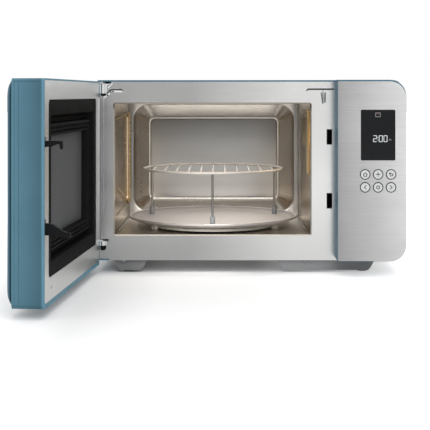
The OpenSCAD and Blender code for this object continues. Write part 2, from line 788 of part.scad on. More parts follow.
// Circuit board with the display module and the relays
module control_board() {
  back = board_y + 1.6;
  color([0.12, 0.34, 0.2]) {
    box([fas_x0 + 5, board_y, fas_z0 + 36], [fas_x1 - 5, back, fas_z1 - 12]);
    box([disp_x0 + 4, house_y + house_t + 0.4, disp_z0 + 4],
      [disp_x0 + disp_w - 4, board_y, disp_z1 - 4]);
    for (i = [0:2])
      box([fas_x0 + 12 + i * 26, back, fas_z0 + 50], [fas_x0 + 32 + i * 26, back + 12, fas_z0 + 76]);
    box([fas_x0 + 24, back, fas_z1 - 60], [fas_x0 + 70, back + 9, fas_z1 - 30]);
  }
}

// A push button with a retaining flange and a stem to the board
module push_button(spot) {
  translate([btn_x + spot[0] * btn_pitch, 0, btn_z - spot[1] * btn_pitch]) {
    rod_y(0, house_y - fascia_t - 0.4, 0, btn_d / 2, fascia_t + house_t + 0.4 + move_gap);
    rod_y(0, house_y + house_t + move_gap, 0, btn_d / 2 + 1, 1.4);
    rod_y(0, house_y + house_t + move_gap + 1.4, 0, 2.2,
      board_y - house_y - house_t - 1.4 - 2 * move_gap - btn_travel);
  }
}

module button_home() {
  color(steel) push_button(BUTTONS[0]);
}

module button_plus() {
  color(steel) push_button(BUTTONS[1]);
}

module button_back() {
  color(steel) push_button(BUTTONS[2]);
}

module button_less() {
  color(steel) push_button(BUTTONS[3]);
}

module button_round() {
  color(steel) push_button(BUTTONS[4]);
}

module button_more() {
  color(steel) push_button(BUTTONS[5]);
}

// Grommet for the cord in the back, with a bead on each side of the sheet
module cord_gland() {
  color(black) difference() {
    union() {
      rod_y(gland_x, y_back - sheet_t - 3, gland_z, gland_r - 2 - seat_gap, 10);
      rod_y(gland_x, y_back, gland_z, gland_r, 3);
      rod_y(gland_x, y_back - sheet_t - 3, gland_z, gland_r, 3);
    }
    rod_y(gland_x, y_back - sheet_t - 4, gland_z, cord_r, 13);
  }
}

// Mains filter board with its choke and fuse, on the bay's floor
module noise_filter() {
  x = bay_x0 + 76;
  y = y_front + 60;
  color([0.55, 0.45, 0.2]) {
    box([x - 70, y - 28, trough_z + 6], [x, y + 28, trough_z + 7.6]);
    for (a = [x - 64, x - 6], b = [y - 22, y + 22]) translate([a, b, trough_z]) cylinder(r = 3, h = 6);
    translate([x - 50, y, trough_z + 7.6]) cylinder(r = 13, h = 16);
    box([x - 30, y - 14, trough_z + 7.6], [x - 8, y + 8, trough_z + 24]);
  }
}

// ---- Latch ----

// Moulding behind the frame with a pocket for each hook
module latch_housing() {
  half = latch_half;
  y0 = y_front + 2 * sheet_t + seat_gap;
  color(black) difference() {
    box([slot_x - half, y0, slot_z[0] - 10], [slot_x + half, y0 + pocket_d + 3, latch_top]);
    for (z = slot_z)
      box([slot_x - slot_w / 2, y0 - eps, z], [slot_x + slot_w / 2, y0 + pocket_d, z + slot_h]);
    box([slot_x - half + 3, y0 + 3, slot_z[0] + slot_h + 6],
      [slot_x + half + eps, y0 + pocket_d + 4, slot_z[1] - 6]);
  }
}

// Three micro-switches on the side of the latch housing
module interlock_switches() {
  x0 = slot_x + latch_half + seat_gap;
  spots = [slot_z[0] + 2, slot_z[1] - 4, slot_z[1] + 13];
  color([0.75, 0.72, 0.66]) for (z = spots) {
    box([x0, y_front + 12, z], [x0 + 10, y_front + 39, z + 15]);
    for (i = [0, 1]) box([x0 + 4, y_front + 39, z + 2 + i * 8], [x0 + 5, y_front + 46, z + 5 + i * 8]);
  }
}

// Lug with the pin's bore, on a plate behind the front frame
module hinge_bracket(span, plate_low, plate_high) {
  difference() {
    translate([hinge_x, hinge_y, span[0]]) {
      cylinder(r = lug_r, h = span[1] - span[0]);
      translate([-6.5, -3, 0]) cube([13, 7.4, span[1] - span[0]]);
      translate([-6.5, 1.6, plate_low - span[0]]) cube([34, 2.4, plate_high - plate_low]);
      translate([16, -hinge_back + sheet_t + seat_gap, plate_low - span[0]])
        cube([11.5, 5, plate_high - plate_low]);
    }
    translate([hinge_x, hinge_y, span[0] - 30]) cylinder(d = pin_d + 2 * run_gap, h = 80);
  }
}

module hinge_bracket_top() {
  color(zinc) hinge_bracket(lug_top_z, lug_top_z[0] - 8, lug_top_z[1]);
}

module hinge_bracket_bottom() {
  color(zinc) hinge_bracket(lug_low_z, lug_low_z[0] - 8, lug_low_z[1]);
}

// ---- Door, described closed about its hinge axis ----

// Outline of the door's frame on the inner side, clear of the cabinet
module door_inner_section(side, low, high) {
  rounded_rect(swing_x + side, door_z0 + low, door_x1 - side, door_z1 - high, 5);
}

// Outline of the door's frame on the outer side, round at the hinge
module door_outer_section(inset) {
  rounded_rect(door_x0 + inset, door_z0 + inset, door_x1 - 60, door_z1 - inset, door_r + 2 - inset);
  rounded_rect(door_x1 - 120, door_z0 + inset, door_x1 - inset, door_z1 - inset, 5);
}

// Pockets in the door for the arms of the hinge pins
module arm_pockets() {
  for (z = [lug_top_z[1], lug_low_z[1]])
    box([swing_x - eps, door_in - 10 - seat_gap, z + move_gap - seat_gap],
        [arm_x + arm_w + seat_gap, door_in + eps, z + move_gap + arm_t + seat_gap]);
}

// Painted frame of the door
module door_frame() {
  color(blue) on_door() difference() {
    union() {
      plate_xz(swing_y, door_in - swing_y) door_inner_section(0, 0, 0);
      plate_xz(skin_y, swing_y - skin_y) door_outer_section(0);
    }
    plate_xz(swing_y - wall, door_in - swing_y + wall + eps)
      door_inner_section(rim_side, rim_bottom, rim_top);
    plate_xz(skin_y - eps, swing_y - wall - skin_y + eps) door_outer_section(wall);
    arm_pockets();
  }
  // Shelf that the latch's spring pushes against
  color(blue) on_door()
    box([hook_x - 6, bar_y - 9, spring_z1 + spring_wire + seat_gap],
        [door_x1 - 1, door_in - sheet_t - seat_gap, spring_z1 + spring_wire + seat_gap + 2]);
}

// Painted, crowned outer skin with an opening for the outer window
module door_skin() {
  seam = 1;
  groove = 2.6;
  color(blue) on_door() difference() {
    union() {
      plate_xz(skin_y - groove, groove - seat_gap)
        rounded_rect(door_x0 + seam, door_z0 + seam, door_x1 - seam, door_z1 - seam, door_r - seam);
      hull() {
        plate_xz(skin_y - groove - 0.6, 0.6)
          rounded_rect(door_x0, door_z0, door_x1, door_z1, door_r, $fn = 32);
        plate_xz(door_out, 0.1)
          rounded_rect(door_x0 + 5, door_z0 + 5, door_x1 - 5, door_z1 - 5, door_r - 5, $fn = 32);
        plate_xz(door_out - crown, 0.1)
          rounded_rect(door_x0 + 26, door_z0 + 26, door_x1 - 26, door_z1 - 26, 8, $fn = 32);
      }
    }
    plate_xz(door_out + 3, skin_t)
      rounded_rect(door_x0 + 6, door_z0 + 6, door_x1 - 6, door_z1 - 6, door_r - 6);
    plate_xz(door_out - 2 * crown, skin_t)
      rounded_rect(pane_x0 - win_over, pane_z0 - win_over, pane_x1 + win_over, pane_z1 + win_over, 10);
  }
}

// Tinted glass in the skin's opening
module door_glass() {
  win = win_over - seat_gap;
  color([0.16, 0.17, 0.18]) on_door() plate_xz(door_out - crown + 0.4, 4)
    rounded_rect(pane_x0 - win, pane_z0 - win, pane_x1 + win, pane_z1 + win, 10 - seat_gap);
}

// Stainless inner plate of the door
module door_inner_plate() {
  side = rim_side + seat_gap;
  color(steel) on_door() difference() {
    plate_xz(door_in - sheet_t, sheet_t)
      door_inner_section(side, rim_bottom + seat_gap, rim_top + seat_gap);
    plate_xz(door_in - 2 * sheet_t, 3 * sheet_t)
      rounded_rect(choke_x0, choke_z0, choke_x1, choke_z1, 7);
    for (z = hook_span) plate_xz(door_in - 2 * sheet_t, 3 * sheet_t)
      translate([hook_x - hook_t / 2 - 0.8, z[0] - 0.7]) square([hook_t + 1.6, z[1] - z[0] + 5.5]);
    arm_pockets();
  }
}

// Stepped black frame that chokes the microwaves round the pane
module door_choke_frame() {
  back = door_in - 21;
  groove = 20;
  island = 34;
  color(black) on_door() difference() {
    plate_xz(back, door_in - 0.5 - back)
      rounded_rect(choke_x0 + seat_gap, choke_z0 + seat_gap, choke_x1 - seat_gap, choke_z1 - seat_gap, 7);
    difference() {
      plate_xz(door_in - 16, 30)
        rounded_rect(choke_x0 + groove, choke_z0 + groove, choke_x1 - groove, choke_z1 - groove, 5);
      plate_xz(back - 1, door_in - 3 - back + 1)
        rounded_rect(choke_x0 + island, choke_z0 + island, choke_x1 - island, choke_z1 - island, 4);
    }
    plate_xz(back - 4, 30) rounded_rect(pane_x0, pane_z0, pane_x1, pane_z1, 3);
  }
}

// Perforated screen over the pane, between the choke frame and the skin
module door_mesh_screen() {
  over = 8;
  color([0.3, 0.3, 0.31]) on_door() plate_xz(door_in - 21 - sheet_t - seat_gap, sheet_t)
    rounded_rect(pane_x0 - over, pane_z0 - over, pane_x1 + over, pane_z1 + over, 4);
}

// Two pins, each on an arm that turns above its lug
module door_hinge_pins() {
  color(zinc) on_door() for (span = [lug_top_z, lug_low_z]) {
    translate([0, 0, span[0] - 1.5]) cylinder(d = pin_d, h = span[1] - span[0] + 1.5 + move_gap + arm_t);
    translate([0, -arm_w / 2, span[1] + move_gap]) cube([arm_x + arm_w, arm_w, arm_t]);
    box([arm_x, door_in - 10, span[1] + move_gap],
      [arm_x + arm_w, arm_w / 2, span[1] + move_gap + arm_t]);
    translate([0, 0, span[1] + move_gap]) cylinder(r = 2.9, h = arm_t);
  }
}

// Lever with both hooks, on a bar inside the door
module latch_lever() {
  low = hook_span[0];
  high = hook_span[1];
  lower_reach = 32 + door_in;
  upper_reach = 22 + door_in;
  color(black) on_door() {
    plate_yz(hook_x - hook_t / 2, hook_t) polygon([
      [bar_y, low[0]], [lower_reach - 16, low[0] - 1.8], [lower_reach - 6, low[0] - 3.2],
      [lower_reach - 1, low[0] - 3.2], [lower_reach, low[0] - 1.5], [lower_reach - 1, low[1] - 10.4],
      [lower_reach - 5, low[1] - 11], [lower_reach - 10, low[1] - 9], [lower_reach - 21, low[1] - 2],
      [lower_reach - 28, low[1]], [bar_y, low[1]]
    ]);
    plate_yz(hook_x - hook_t / 2, hook_t) polygon([
      [bar_y, high[0]], [upper_reach - 14, high[0]], [upper_reach - 7, high[0] + 3.4],
      [upper_reach - 3.6, high[0] + 3], [upper_reach - 3, high[0] - 2.6],
        [upper_reach - 0.6, high[0] - 3.3],
      [upper_reach, high[0] - 2], [upper_reach, high[1] - 0.8], [upper_reach - 0.8, high[1]],
      [bar_y, high[1]]
    ]);
    box([hook_x - hook_t / 2, bar_y - 8, low[0] - 6], [hook_x + hook_t / 2, bar_y, bar_top]);
  }
}

// One ring of points round the spring's wire
function spring_ring(i, n, r, wire, z0, z1, sides) =
  let (a = 360 * i / n, turn = a * 6, z = z0 + (z1 - z0) * i / n)
  [for (k = [0:sides - 1]) let (b = 360 * k / sides)
    [cos(turn) * (r + wire * cos(b)), sin(turn) * (r + wire * cos(b)), z + wire * sin(b)]];

// Compression spring that pushes the lever down
module latch_spring() {
  n = 96;
  sides = 6;
  points = [for (i = [0:n]) each spring_ring(i, n, 2.4, spring_wire, spring_z0, spring_z1, sides)];
  walls = [for (i = [0:n - 1], k = [0:sides - 1])
    [i * sides + k, (i + 1) * sides + k, (i + 1) * sides + (k + 1) % sides, i * sides + (k + 1) % sides]];
  ends = [[for (k = [0:sides - 1]) k], [for (k = [sides - 1:-1:0]) n * sides + k]];
  color(zinc) on_door() translate([hook_x, bar_y - 4, 0])
    polyhedron(points, concat(walls, ends), convexity = 10);
}

// ---- Turntable and rack ----

// Shaft of the motor with its three-armed coupler
module drive_coupler() {
  color([0.92, 0.91, 0.87]) translate([tray_x, tray_y, 0]) {
    translate([0, 0, floor_z - 20]) cylinder(d = 7, h = tray_z - move_gap - floor_z + 20);
    translate([0, 0, floor_z + move_gap]) cylinder(r = 8, h = tray_z - floor_z - 2 * move_gap);
    for (a = leg_angles) rotate([0, 0, a]) translate([0, -3, floor_z + 4])
      cube([17, 6, tray_z - floor_z - 4 - move_gap]);
  }
}

// Round tray with a raised rim and lugs that the coupler drives
module turntable_tray() {
  r = tray_d / 2;
  color([0.74, 0.71, 0.69]) translate([tray_x, tray_y, 0]) {
    rotate_extrude($fn = 96) polygon([
      [0, tray_z], [r - 18, tray_z], [r - 12, tray_z + 1.2], [r - 3, tray_z + tray_h - 3.5],
        [r, tray_z + tray_h - 3],
      [r, tray_z + tray_h - 1], [r - 1, tray_z + tray_h], [r - 5, tray_z + tray_h - 0.8],
      [r - 13, tray_z + tray_t + 0.9], [r - 19, tray_z + tray_t], [0, tray_z + tray_t]
    ]);
    for (a = leg_angles) rotate([0, 0, a + 60]) translate([11, -5, tray_z - 4]) cube([8, 10, 4.5]);
  }
}

// Ring and bars of the rack
module rack_grid() {
  r = rack_d / 2;
  pitch = rack_d / (rack_bars + 1);
  half = (rack_bars - 1) / 2;
  color([0.78, 0.78, 0.78]) translate([tray_x, tray_y, rack_z]) {
    rotate_extrude($fn = 96) translate([r - rack_wire / 2, 0]) circle(d = rack_wire, $fn = 20);
    for (i = [-half:half]) {
      reach = sqrt(pow(r - rack_wire / 2, 2) - pow(i * pitch, 2));
      rod_y(i * pitch, -reach, 0, rack_bar / 2, 2 * reach, $fn = 20);
    }
  }
}

// Three straight legs below the ring
module rack_legs() {
  color([0.78, 0.78, 0.78]) translate([tray_x, tray_y, tray_top + 2]) for (a = leg_angles)
    rotate([0, 0, a])
    translate([rack_d / 2 - rack_wire / 2, 0, 0])
      cylinder(d = rack_wire - 0.4, h = rack_h - rack_wire / 2 - 2, $fn = 24);
}

// Soft sleeves on the legs' ends
module rack_feet() {
  color([0.45, 0.46, 0.47]) translate([tray_x, tray_y, tray_top + move_gap]) for (a = leg_angles)
    rotate([0, 0, a])
    translate([rack_d / 2 - rack_wire / 2, 0, 0]) difference() {
      cylinder(d = sleeve_d, h = sleeve_h);
      translate([0, 0, 2 - move_gap]) cylinder(d = rack_wire - 0.4 + 2 * run_gap, h = sleeve_h);
    }
}

// Ring under the tray with an axle for each roller
module roller_ring() {
  r = track_d / 2;
  color([0.88, 0.87, 0.83]) translate([tray_x, tray_y, 0]) {
    translate([0, 0, roller_z - 2]) difference() {
      cylinder(r = r - 7, h = 4);
      translate([0, 0, -1]) cylinder(r = r - 17, h = 6);
    }
    for (a = wheel_angles) rotate([0, 0, a]) translate([r - 9, 0, roller_z]) rotate([0, 90, 0])
      cylinder(d = 3, h = 14);
    for (a = wheel_angles) rotate([0, 0, a]) translate([r + 4.5, 0, roller_z]) rotate([0, 90, 0])
      cylinder(d = 4.6, h = 1.2);
  }
}

// A roller that turns on its axle
module roller(a) {
  color([0.93, 0.92, 0.9]) translate([tray_x, tray_y, 0]) rotate([0, 0, a])
    translate([track_d / 2 - 3.5, 0, roller_z]) rotate([0, 90, 0]) difference() {
      cylinder(d = roller_d, h = 7);
      translate([0, 0, -eps]) cylinder(r = 1.5 + run_gap, h = 9);
    }
}

module roller_wheel_a() {
  roller(wheel_angles[0]);
}

module roller_wheel_b() {
  roller(wheel_angles[1]);
}

module roller_wheel_c() {
  roller(wheel_angles[2]);
}

// Synchronous motor under the cavity's floor
module turntable_motor() {
  top = floor_z - sheet_t - seat_gap;
  color(zinc) translate([tray_x, tray_y, 0]) difference() {
    union() {
      translate([0, 0, top - 15]) cylinder(d = motor_d, h = 15);
      translate([-33, -7, top - 1.2]) cube([66, 14, 1.2]);
    }
    translate([0, 0, floor_z - 20 - move_gap]) cylinder(r = 3.5 + run_gap, h = 30);
  }
}

outer_cover();
rear_panel();
base_plate();
front_frame();
cavity_left_wall();
cavity_right_wall();
cavity_roof();
cavity_floor();
cavity_back();
waveguide();
waveguide_cover();
magnetron();
transformer_core();
transformer_windings();
hv_capacitor();
fan_shroud();
fan_motor();
fan_blade();
grill_reflector();
grill_elements();
lamp_holder();
lamp_bulb();
lamp_duct();
turntable_motor();
latch_housing();
interlock_switches();
hinge_bracket_top();
hinge_bracket_bottom();
control_housing();
fascia_plate();
display_window();
control_board();
feet();
cover_screws();
cord_gland();
noise_filter();
door_skin();
door_frame();
door_inner_plate();
door_choke_frame();
door_mesh_screen();
door_glass();
door_hinge_pins();
latch_spring();
latch_lever();
drive_coupler();
turntable_tray();
rack_grid();
rack_legs();
rack_feet();
roller_ring();
roller_wheel_a();
roller_wheel_b();
roller_wheel_c();
button_home();
button_plus();
button_back();
button_less();
button_round();
button_more();
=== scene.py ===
"""Looks of a countertop microwave oven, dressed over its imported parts.

The modelling helpers take millimetres, and the scene is in metres.
"""

import math

import bpy
from mathutils import Matrix, Vector


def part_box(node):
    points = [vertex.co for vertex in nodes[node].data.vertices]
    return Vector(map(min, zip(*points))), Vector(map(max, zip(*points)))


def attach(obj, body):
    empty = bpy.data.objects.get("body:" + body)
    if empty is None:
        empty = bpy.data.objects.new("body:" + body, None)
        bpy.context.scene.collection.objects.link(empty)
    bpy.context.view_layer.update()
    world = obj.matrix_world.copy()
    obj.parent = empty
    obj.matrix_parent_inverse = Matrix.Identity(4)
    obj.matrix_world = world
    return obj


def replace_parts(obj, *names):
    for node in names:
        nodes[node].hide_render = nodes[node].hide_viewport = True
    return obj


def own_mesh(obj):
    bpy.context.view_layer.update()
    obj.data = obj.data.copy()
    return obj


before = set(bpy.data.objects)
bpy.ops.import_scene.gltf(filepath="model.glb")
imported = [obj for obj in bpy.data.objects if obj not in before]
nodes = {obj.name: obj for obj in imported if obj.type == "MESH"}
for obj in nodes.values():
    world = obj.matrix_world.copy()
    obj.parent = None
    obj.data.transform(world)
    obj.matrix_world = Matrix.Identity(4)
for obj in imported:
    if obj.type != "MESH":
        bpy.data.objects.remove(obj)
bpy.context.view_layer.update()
MM = 0.001


# ---------------------------------------------------------------- places taken from the parts

def span(node):
    """Lowest and highest corner of a part, in millimetres."""
    low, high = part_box(node)
    return low / MM, high / MM


# Rectangles are given as low X, low Z, high X, high Z
mouth = (-21, 60, 288, 266.7)
face_y = span("front_frame")[0].y
window_low, window_high = span("display_window")
window_y = window_low.y
wall_left = span("cavity_left_wall")[1].x
wall_right = span("cavity_right_wall")[0].x
floor_top = 56
roof_under = 270.7
back_face = span("cavity_back")[0].y
dish_deep = span("cavity_back")[1].y - 1
tray_low, tray_high = span("turntable_tray")
tray_middle = (tray_low + tray_high) / 2
hinge = Vector((-39, -26, 0))
DOOR_ANGLE = 94.5
DOOR = Matrix.Translation(hinge * MM) @ Matrix.Rotation(math.radians(-DOOR_ANGLE), 4, "Z")
# Turns a line drawn in X and Z so that it runs along Y, proud toward +X
SIDEWAYS = Matrix.Rotation(math.radians(90), 4, "Z")

# The closed door's own coordinates, about its hinge axis
door_inner = -5
door_left = 5.3
door_right = 363.5
door_foot = 13.5
door_head = 301.4
choke = (28.9, 48.7, 339.9, 274.6)
pane = (76.5, 94.2, 305, 226.5)


# ---------------------------------------------------------------- shader helper and finishes

def srgb(code):
    """A hex colour as linear RGBA."""
    parts = [int(code[i:i + 2], 16) / 255 for i in (1, 3, 5)]
    return [p / 12.92 if p <= 0.04045 else ((p + 0.055) / 1.055) ** 2.4 for p in parts] + [1.0]


def add(tree, kind, inputs=None, **settings):
    """Adds a shader node with its settings, and sets or links its inputs."""
    made = tree.nodes.new(kind)
    for name, value in settings.items():
        setattr(made, name, value)
    for name, value in (inputs or {}).items():
        if isinstance(value, bpy.types.NodeSocket):
            tree.links.new(value, made.inputs[name])
        else:
            made.inputs[name].default_value = value
    return made


def start(name):
    """A new material with its empty tree and the place on the piece."""
    made = bpy.data.materials.new(name)
    made.use_nodes = True
    tree = made.node_tree
    tree.nodes.clear()
    place = add(tree, "ShaderNodeTexCoord").outputs["Object"]
    return made, tree, place


def finish(made, tree, shader):
    """Joins the shader to the material's output."""
    out = add(tree, "ShaderNodeOutputMaterial")
    tree.links.new(shader.outputs[0], out.inputs["Surface"])
    return made


def marks(tree, place, size, detail=3.0, rough=0.5):
    """Cloudy marks whose length along X, Y and Z is given in millimetres."""
    scale = tuple(1 / (MM * s) for s in size)
    mapped = add(tree, "ShaderNodeMapping", {"Vector": place, "Scale": scale})
    noise = add(tree, "ShaderNodeTexNoise", {
        "Vector": mapped.outputs[0], "Scale": 1.0, "Detail": detail, "Roughness": rough})
    return noise.outputs["Fac"]


# A pattern's values lie mostly between these
MIDDLE_LOW = 0.3
MIDDLE_HIGH = 0.7


def ramp_value(tree, value, first, last, low, high, **settings):
    """A value that runs from low at first to high at last and stays level beyond."""
    return add(tree, "ShaderNodeMapRange", {
        "Value": value, "From Min": first, "From Max": last, "To Min": low, "To Max": high}, **settings).outputs[0]


def mixed(tree, share, a, b):
    """Two values mixed, with the given share of the second."""
    return add(tree, "ShaderNodeMix", {"Factor": share, "A": a, "B": b}, data_type="FLOAT").outputs[0]


def between(tree, fac, low, high):
    """A grey value that runs from low to high over the middle of a pattern."""
    return ramp_value(tree, fac, MIDDLE_LOW, MIDDLE_HIGH, low, high)


def tint(tree, fac, dark, light):
    """A colour that runs from dark to light over the middle of a pattern."""
    ramp = add(tree, "ShaderNodeValToRGB", {"Fac": fac})
    ramp.color_ramp.elements[0].position = MIDDLE_LOW
    ramp.color_ramp.elements[0].color = srgb(dark)
    ramp.color_ramp.elements[1].position = MIDDLE_HIGH
    ramp.color_ramp.elements[1].color = srgb(light)
    return ramp.outputs["Color"]


def painted_light_and_shade(tree, place, colour, painted_runs):
    """Colour with painted light and shade: its tone changes toward one side.

    A run is an axis, its start and end in millimetres, and the share of the tone at its start.
    """
    parts = add(tree, "ShaderNodeSeparateXYZ", {"Vector": place})
    for axis, first, last, share in painted_runs:
        level = ramp_value(tree, parts.outputs[axis], first * MM, last * MM, share, 1.0)
        colour = add(tree, "ShaderNodeVectorMath", {0: colour, 1: level}, operation="MULTIPLY").outputs[0]
    return colour


def brushed_metal(name, dark, light, grain, roughness, relief=0.05, painted_runs=()):
    """Brushed sheet: long fine lines in tone, gloss and relief over slow cloudy changes, with painted light and
    shade along the given runs.
    """
    made, tree, place = start(name)
    lines = marks(tree, place, grain, 4.0, 0.6)
    cloud = marks(tree, place, (70, 70, 70), 2.0)
    both = mixed(tree, 0.35, lines, cloud)
    bump = add(tree, "ShaderNodeBump", {"Height": lines, "Strength": relief, "Distance": 0.0001})
    shader = add(tree, "ShaderNodeBsdfPrincipled", {
        "Base Color": painted_light_and_shade(tree, place, tint(tree, both, dark, light), painted_runs), "Metallic": 1.0,
        "Roughness": between(tree, lines, roughness - 0.05, roughness + 0.07), "Normal": bump.outputs[0]})
    return finish(made, tree, shader)


def door_place(tree, place):
    """A place turned back to the closed door's directions."""
    return add(tree, "ShaderNodeMapping", {
        "Vector": place, "Rotation": (0, 0, math.radians(DOOR_ANGLE))}).outputs[0]


def painted_steel(name, dark, light, roughness, peel=1.6, painted_runs=(), on_door=False):
    """Baked paint: fine flakes in tone and soft orange peel under a satin surface, with painted light and shade
    along the given runs.
    """
    made, tree, place = start(name)
    if on_door:
        moved = add(tree, "ShaderNodeVectorMath", {0: place, 1: hinge * MM}, operation="SUBTRACT")
        place = door_place(tree, moved.outputs[0])
    flakes = marks(tree, place, (0.5, 0.5, 0.5), 2.0)
    cloud = marks(tree, place, (45, 45, 45), 2.0)
    both = mixed(tree, 0.5, flakes, cloud)
    skin = marks(tree, place, (peel, peel, peel), 1.0)
    bump = add(tree, "ShaderNodeBump", {"Height": skin, "Strength": 0.06, "Distance": 0.0002})
    shader = add(tree, "ShaderNodeBsdfPrincipled", {
        "Base Color": painted_light_and_shade(tree, place, tint(tree, both, dark, light), painted_runs), "Metallic": 0.1,
        "Roughness": between(tree, flakes, roughness - 0.04, roughness + 0.05),
        "Specular IOR Level": 0.05, "Normal": bump.outputs[0]})
    return finish(made, tree, shader)


def moulded_plastic(name, dark, light, roughness, texture=0.8, relief=0.12, gloss=0.5):
    """Injection-moulded plastic: spark-eroded fine texture and a slight change of tone."""
    made, tree, place = start(name)
    grit = marks(tree, place, (texture, texture, texture), 2.0)
    cloud = marks(tree, place, (30, 30, 30), 2.0)
    bump = add(tree, "ShaderNodeBump", {"Height": grit, "Strength": relief, "Distance": 0.0002})
    shader = add(tree, "ShaderNodeBsdfPrincipled", {
        "Base Color": tint(tree, cloud, dark, light),
        "Roughness": between(tree, grit, roughness - 0.06, roughness + 0.06),
        "Specular IOR Level": gloss, "Normal": bump.outputs[0]})
    return finish(made, tree, shader)


# Satin blue-grey stove enamel on the wrapper, the panel's box and the door's skin
cabinet_enamel = painted_steel("blue_grey_stove_enamel", "#4d6e7f", "#527384", 0.42)
# A darker copy of the cabinet's enamel on the door's painted frame (painted shade), paler over its turned lip
# (painted highlight) and toward the skin (painted light)
door_enamel = painted_steel("blue_grey_enamel_on_door", "#42626f", "#4a6a78", 0.42, on_door=True,
                            painted_runs=[("Y", -7.5, -9.2, 1.8), ("Y", -47, -12, 1.6)])
# Dark enamel that stands for the shade in the seam behind the skin: painted shade
seam_shade_enamel = painted_steel("painted_shade_in_seam", "#2a404c", "#2e4551", 0.6)
# A darker copy of the enamel for the shallow folds of the door's painted frame: painted shade
fold_shade_enamel = painted_steel("painted_shade_enamel_folds", "#3f5d6a", "#45636f", 0.42)
# Stainless front frame, brushed along X: soft horizontal lines; darker toward its left and slightly toward its top
# and bottom: painted shade
frame_stainless = brushed_metal("brushed_stainless_frame", "#dededd", "#e8e8e7", (60, 30, 0.5), 0.2,
                                painted_runs=[("X", 100, 260, 0.58), ("Z", 320, 230, 0.92), ("Z", 40, 200, 0.92)])
# Stainless fascia of the panel, brushed along X, darker toward its left and its top: painted shade
fascia_stainless = brushed_metal("brushed_stainless_fascia", "#c6c6c6", "#dedede", (50, 30, 0.45), 0.34, 0.08,
                                 painted_runs=[("X", 326, 431, 0.52), ("Z", 320, 220, 0.85)])
# Stainless inner plate of the door, brushed along its width, darker toward its foot: painted shade
door_stainless = brushed_metal("brushed_stainless_door_plate", "#ececeb", "#f2f2f1", (40, 60, 0.5), 0.38,
                               painted_runs=[("Z", 20, 110, 0.78)])
# Satin stainless of the cavity: soft, with slow cloudy changes and a faint warm cast
satin = (160, 160, 80)
cavity_stainless = brushed_metal("satin_stainless_cavity", "#d5d0ca", "#dbd6d0", satin, 0.24, 0.0)
# The same sheet on the back wall, darker on its side flanges and above its lowest part: painted shade
pressing_stainless = brushed_metal("satin_stainless_back_wall", "#ece7e0", "#f1ece5", satin, 0.24, 0.0,
                                   painted_runs=[("X", wall_left + 5, wall_left + 13, 0.42),
                                         ("X", wall_right - 5, wall_right - 13, 0.42), ("Z", 112, 88, 0.72)])
# The same sheet on the side walls, straw-coloured to stand for the warm light they reflect: painted reflection
wall_stainless = brushed_metal("painted_warm_reflection_walls", "#dac6aa", "#e2d0b6", satin, 0.2, 0.0)
# Floor of the cavity, in a paler tone than the cavity's other sheet to stand for the light on it: painted light
floor_stainless = brushed_metal("painted_light_stainless_floor", "#eee8e0", "#f6f0e8", satin, 0.36, 0.0)
# Flat of the back wall: neutral, darker toward its top: painted shade
panel_stainless = brushed_metal("back_flat_painted_shade", "#f4f2ef", "#faf8f5", (160, 160, 160), 0.34, 0.0,
                                painted_runs=[("Z", 240, 85, 0.32), ("Z", 112, 90, 0.72)])
# Zinc-plated sheet: faint crystalline bloom
zinc_sheet = brushed_metal("zinc_plated_sheet", "#8e9192", "#a6a9aa", (14, 14, 14), 0.42)
# Coated steel of the base, dark grey, set lighter to offset the shade under the cabinet's overhang (painted light),
# and darker toward its left end (painted shade)
base_coating = painted_steel("dark_grey_base_coating", "#8c8d8e", "#969798", 0.5, painted_runs=[("X", 0, 70, 0.62)])
# Black moulded plastic with a fine texture
black_moulding = moulded_plastic("black_moulded_pbt", "#141516", "#191a1b", 0.36, gloss=0.05)
# The choke frame's darker, deader black
choke_black = moulded_plastic("dead_black_choke_moulding", "#161616", "#1b1b1b", 0.5, gloss=0.012)
# Black rubber feet
foot_rubber = moulded_plastic("black_rubber_feet", "#111112", "#19191a", 0.75, 1.2, 0.2)
# Mica sheet over the waveguide: pale brown with flaky layers
mica_sheet = moulded_plastic("mica_sheet", "#857862", "#94866e", 0.5, 3.0)
# Varnished laminations of the transformer
lamination_steel = brushed_metal("varnished_laminations", "#4a4d52", "#5b5e63", (60, 60, 0.8), 0.5, 0.3)
# Enamelled copper wire in layers
copper_windings = brushed_metal("enamelled_copper_windings", "#8f5226", "#b76b38", (60, 60, 1.2), 0.35, 0.6)
# Drawn aluminium can of the capacitor
aluminium_can = brushed_metal("drawn_aluminium_can", "#b5b7b9", "#c8cacb", (6, 6, 30), 0.3)
# Iron of the fan's motor
motor_iron = brushed_metal("motor_laminations", "#5f5751", "#766b62", (60, 0.9, 60), 0.5, 0.3)
# White moulded fan
fan_plastic = moulded_plastic("white_moulded_pp", "#d2d2cb", "#dedfd8", 0.4)
# Frosted quartz tubes of the grill
quartz_tube = moulded_plastic("frosted_quartz", "#d8d4cb", "#e4e0d8", 0.3, 2.0)
# Glazed ceramic of the lamp holder
lamp_ceramic = moulded_plastic("lamp_ceramic", "#dcd6c8", "#e6e1d4", 0.3, 4.0)
# Moulded micro-switch cases
switch_plastic = moulded_plastic("micro_switch_case", "#b9b2a4", "#c5beb1", 0.5)
# Zinc-plated pins and screws
pin_steel = brushed_metal("zinc_plated_pins", "#cfd1d2", "#e6e8e9", (3, 3, 1), 0.22)
# Satin grey enamel of the tray: faint warm cast; lighter along the top of its rim (painted highlight), darker down
# the rim and toward its left (painted shade)
tray_enamel = painted_steel("satin_tray_enamel", "#bcb6b2", "#c4beba", 0.34, 3.0,
                             painted_runs=[("Z", 75.2, 74.7, 2.1), ("Z", 74.6, 71.2, 0.6), ("X", 0, 250, 0.66)])
# Chromed wire of the rack, in a darkened tone: painted shade
rack_chrome = brushed_metal("chromed_wire", "#9b9894", "#a9a6a2", (5, 5, 5), 0.2)
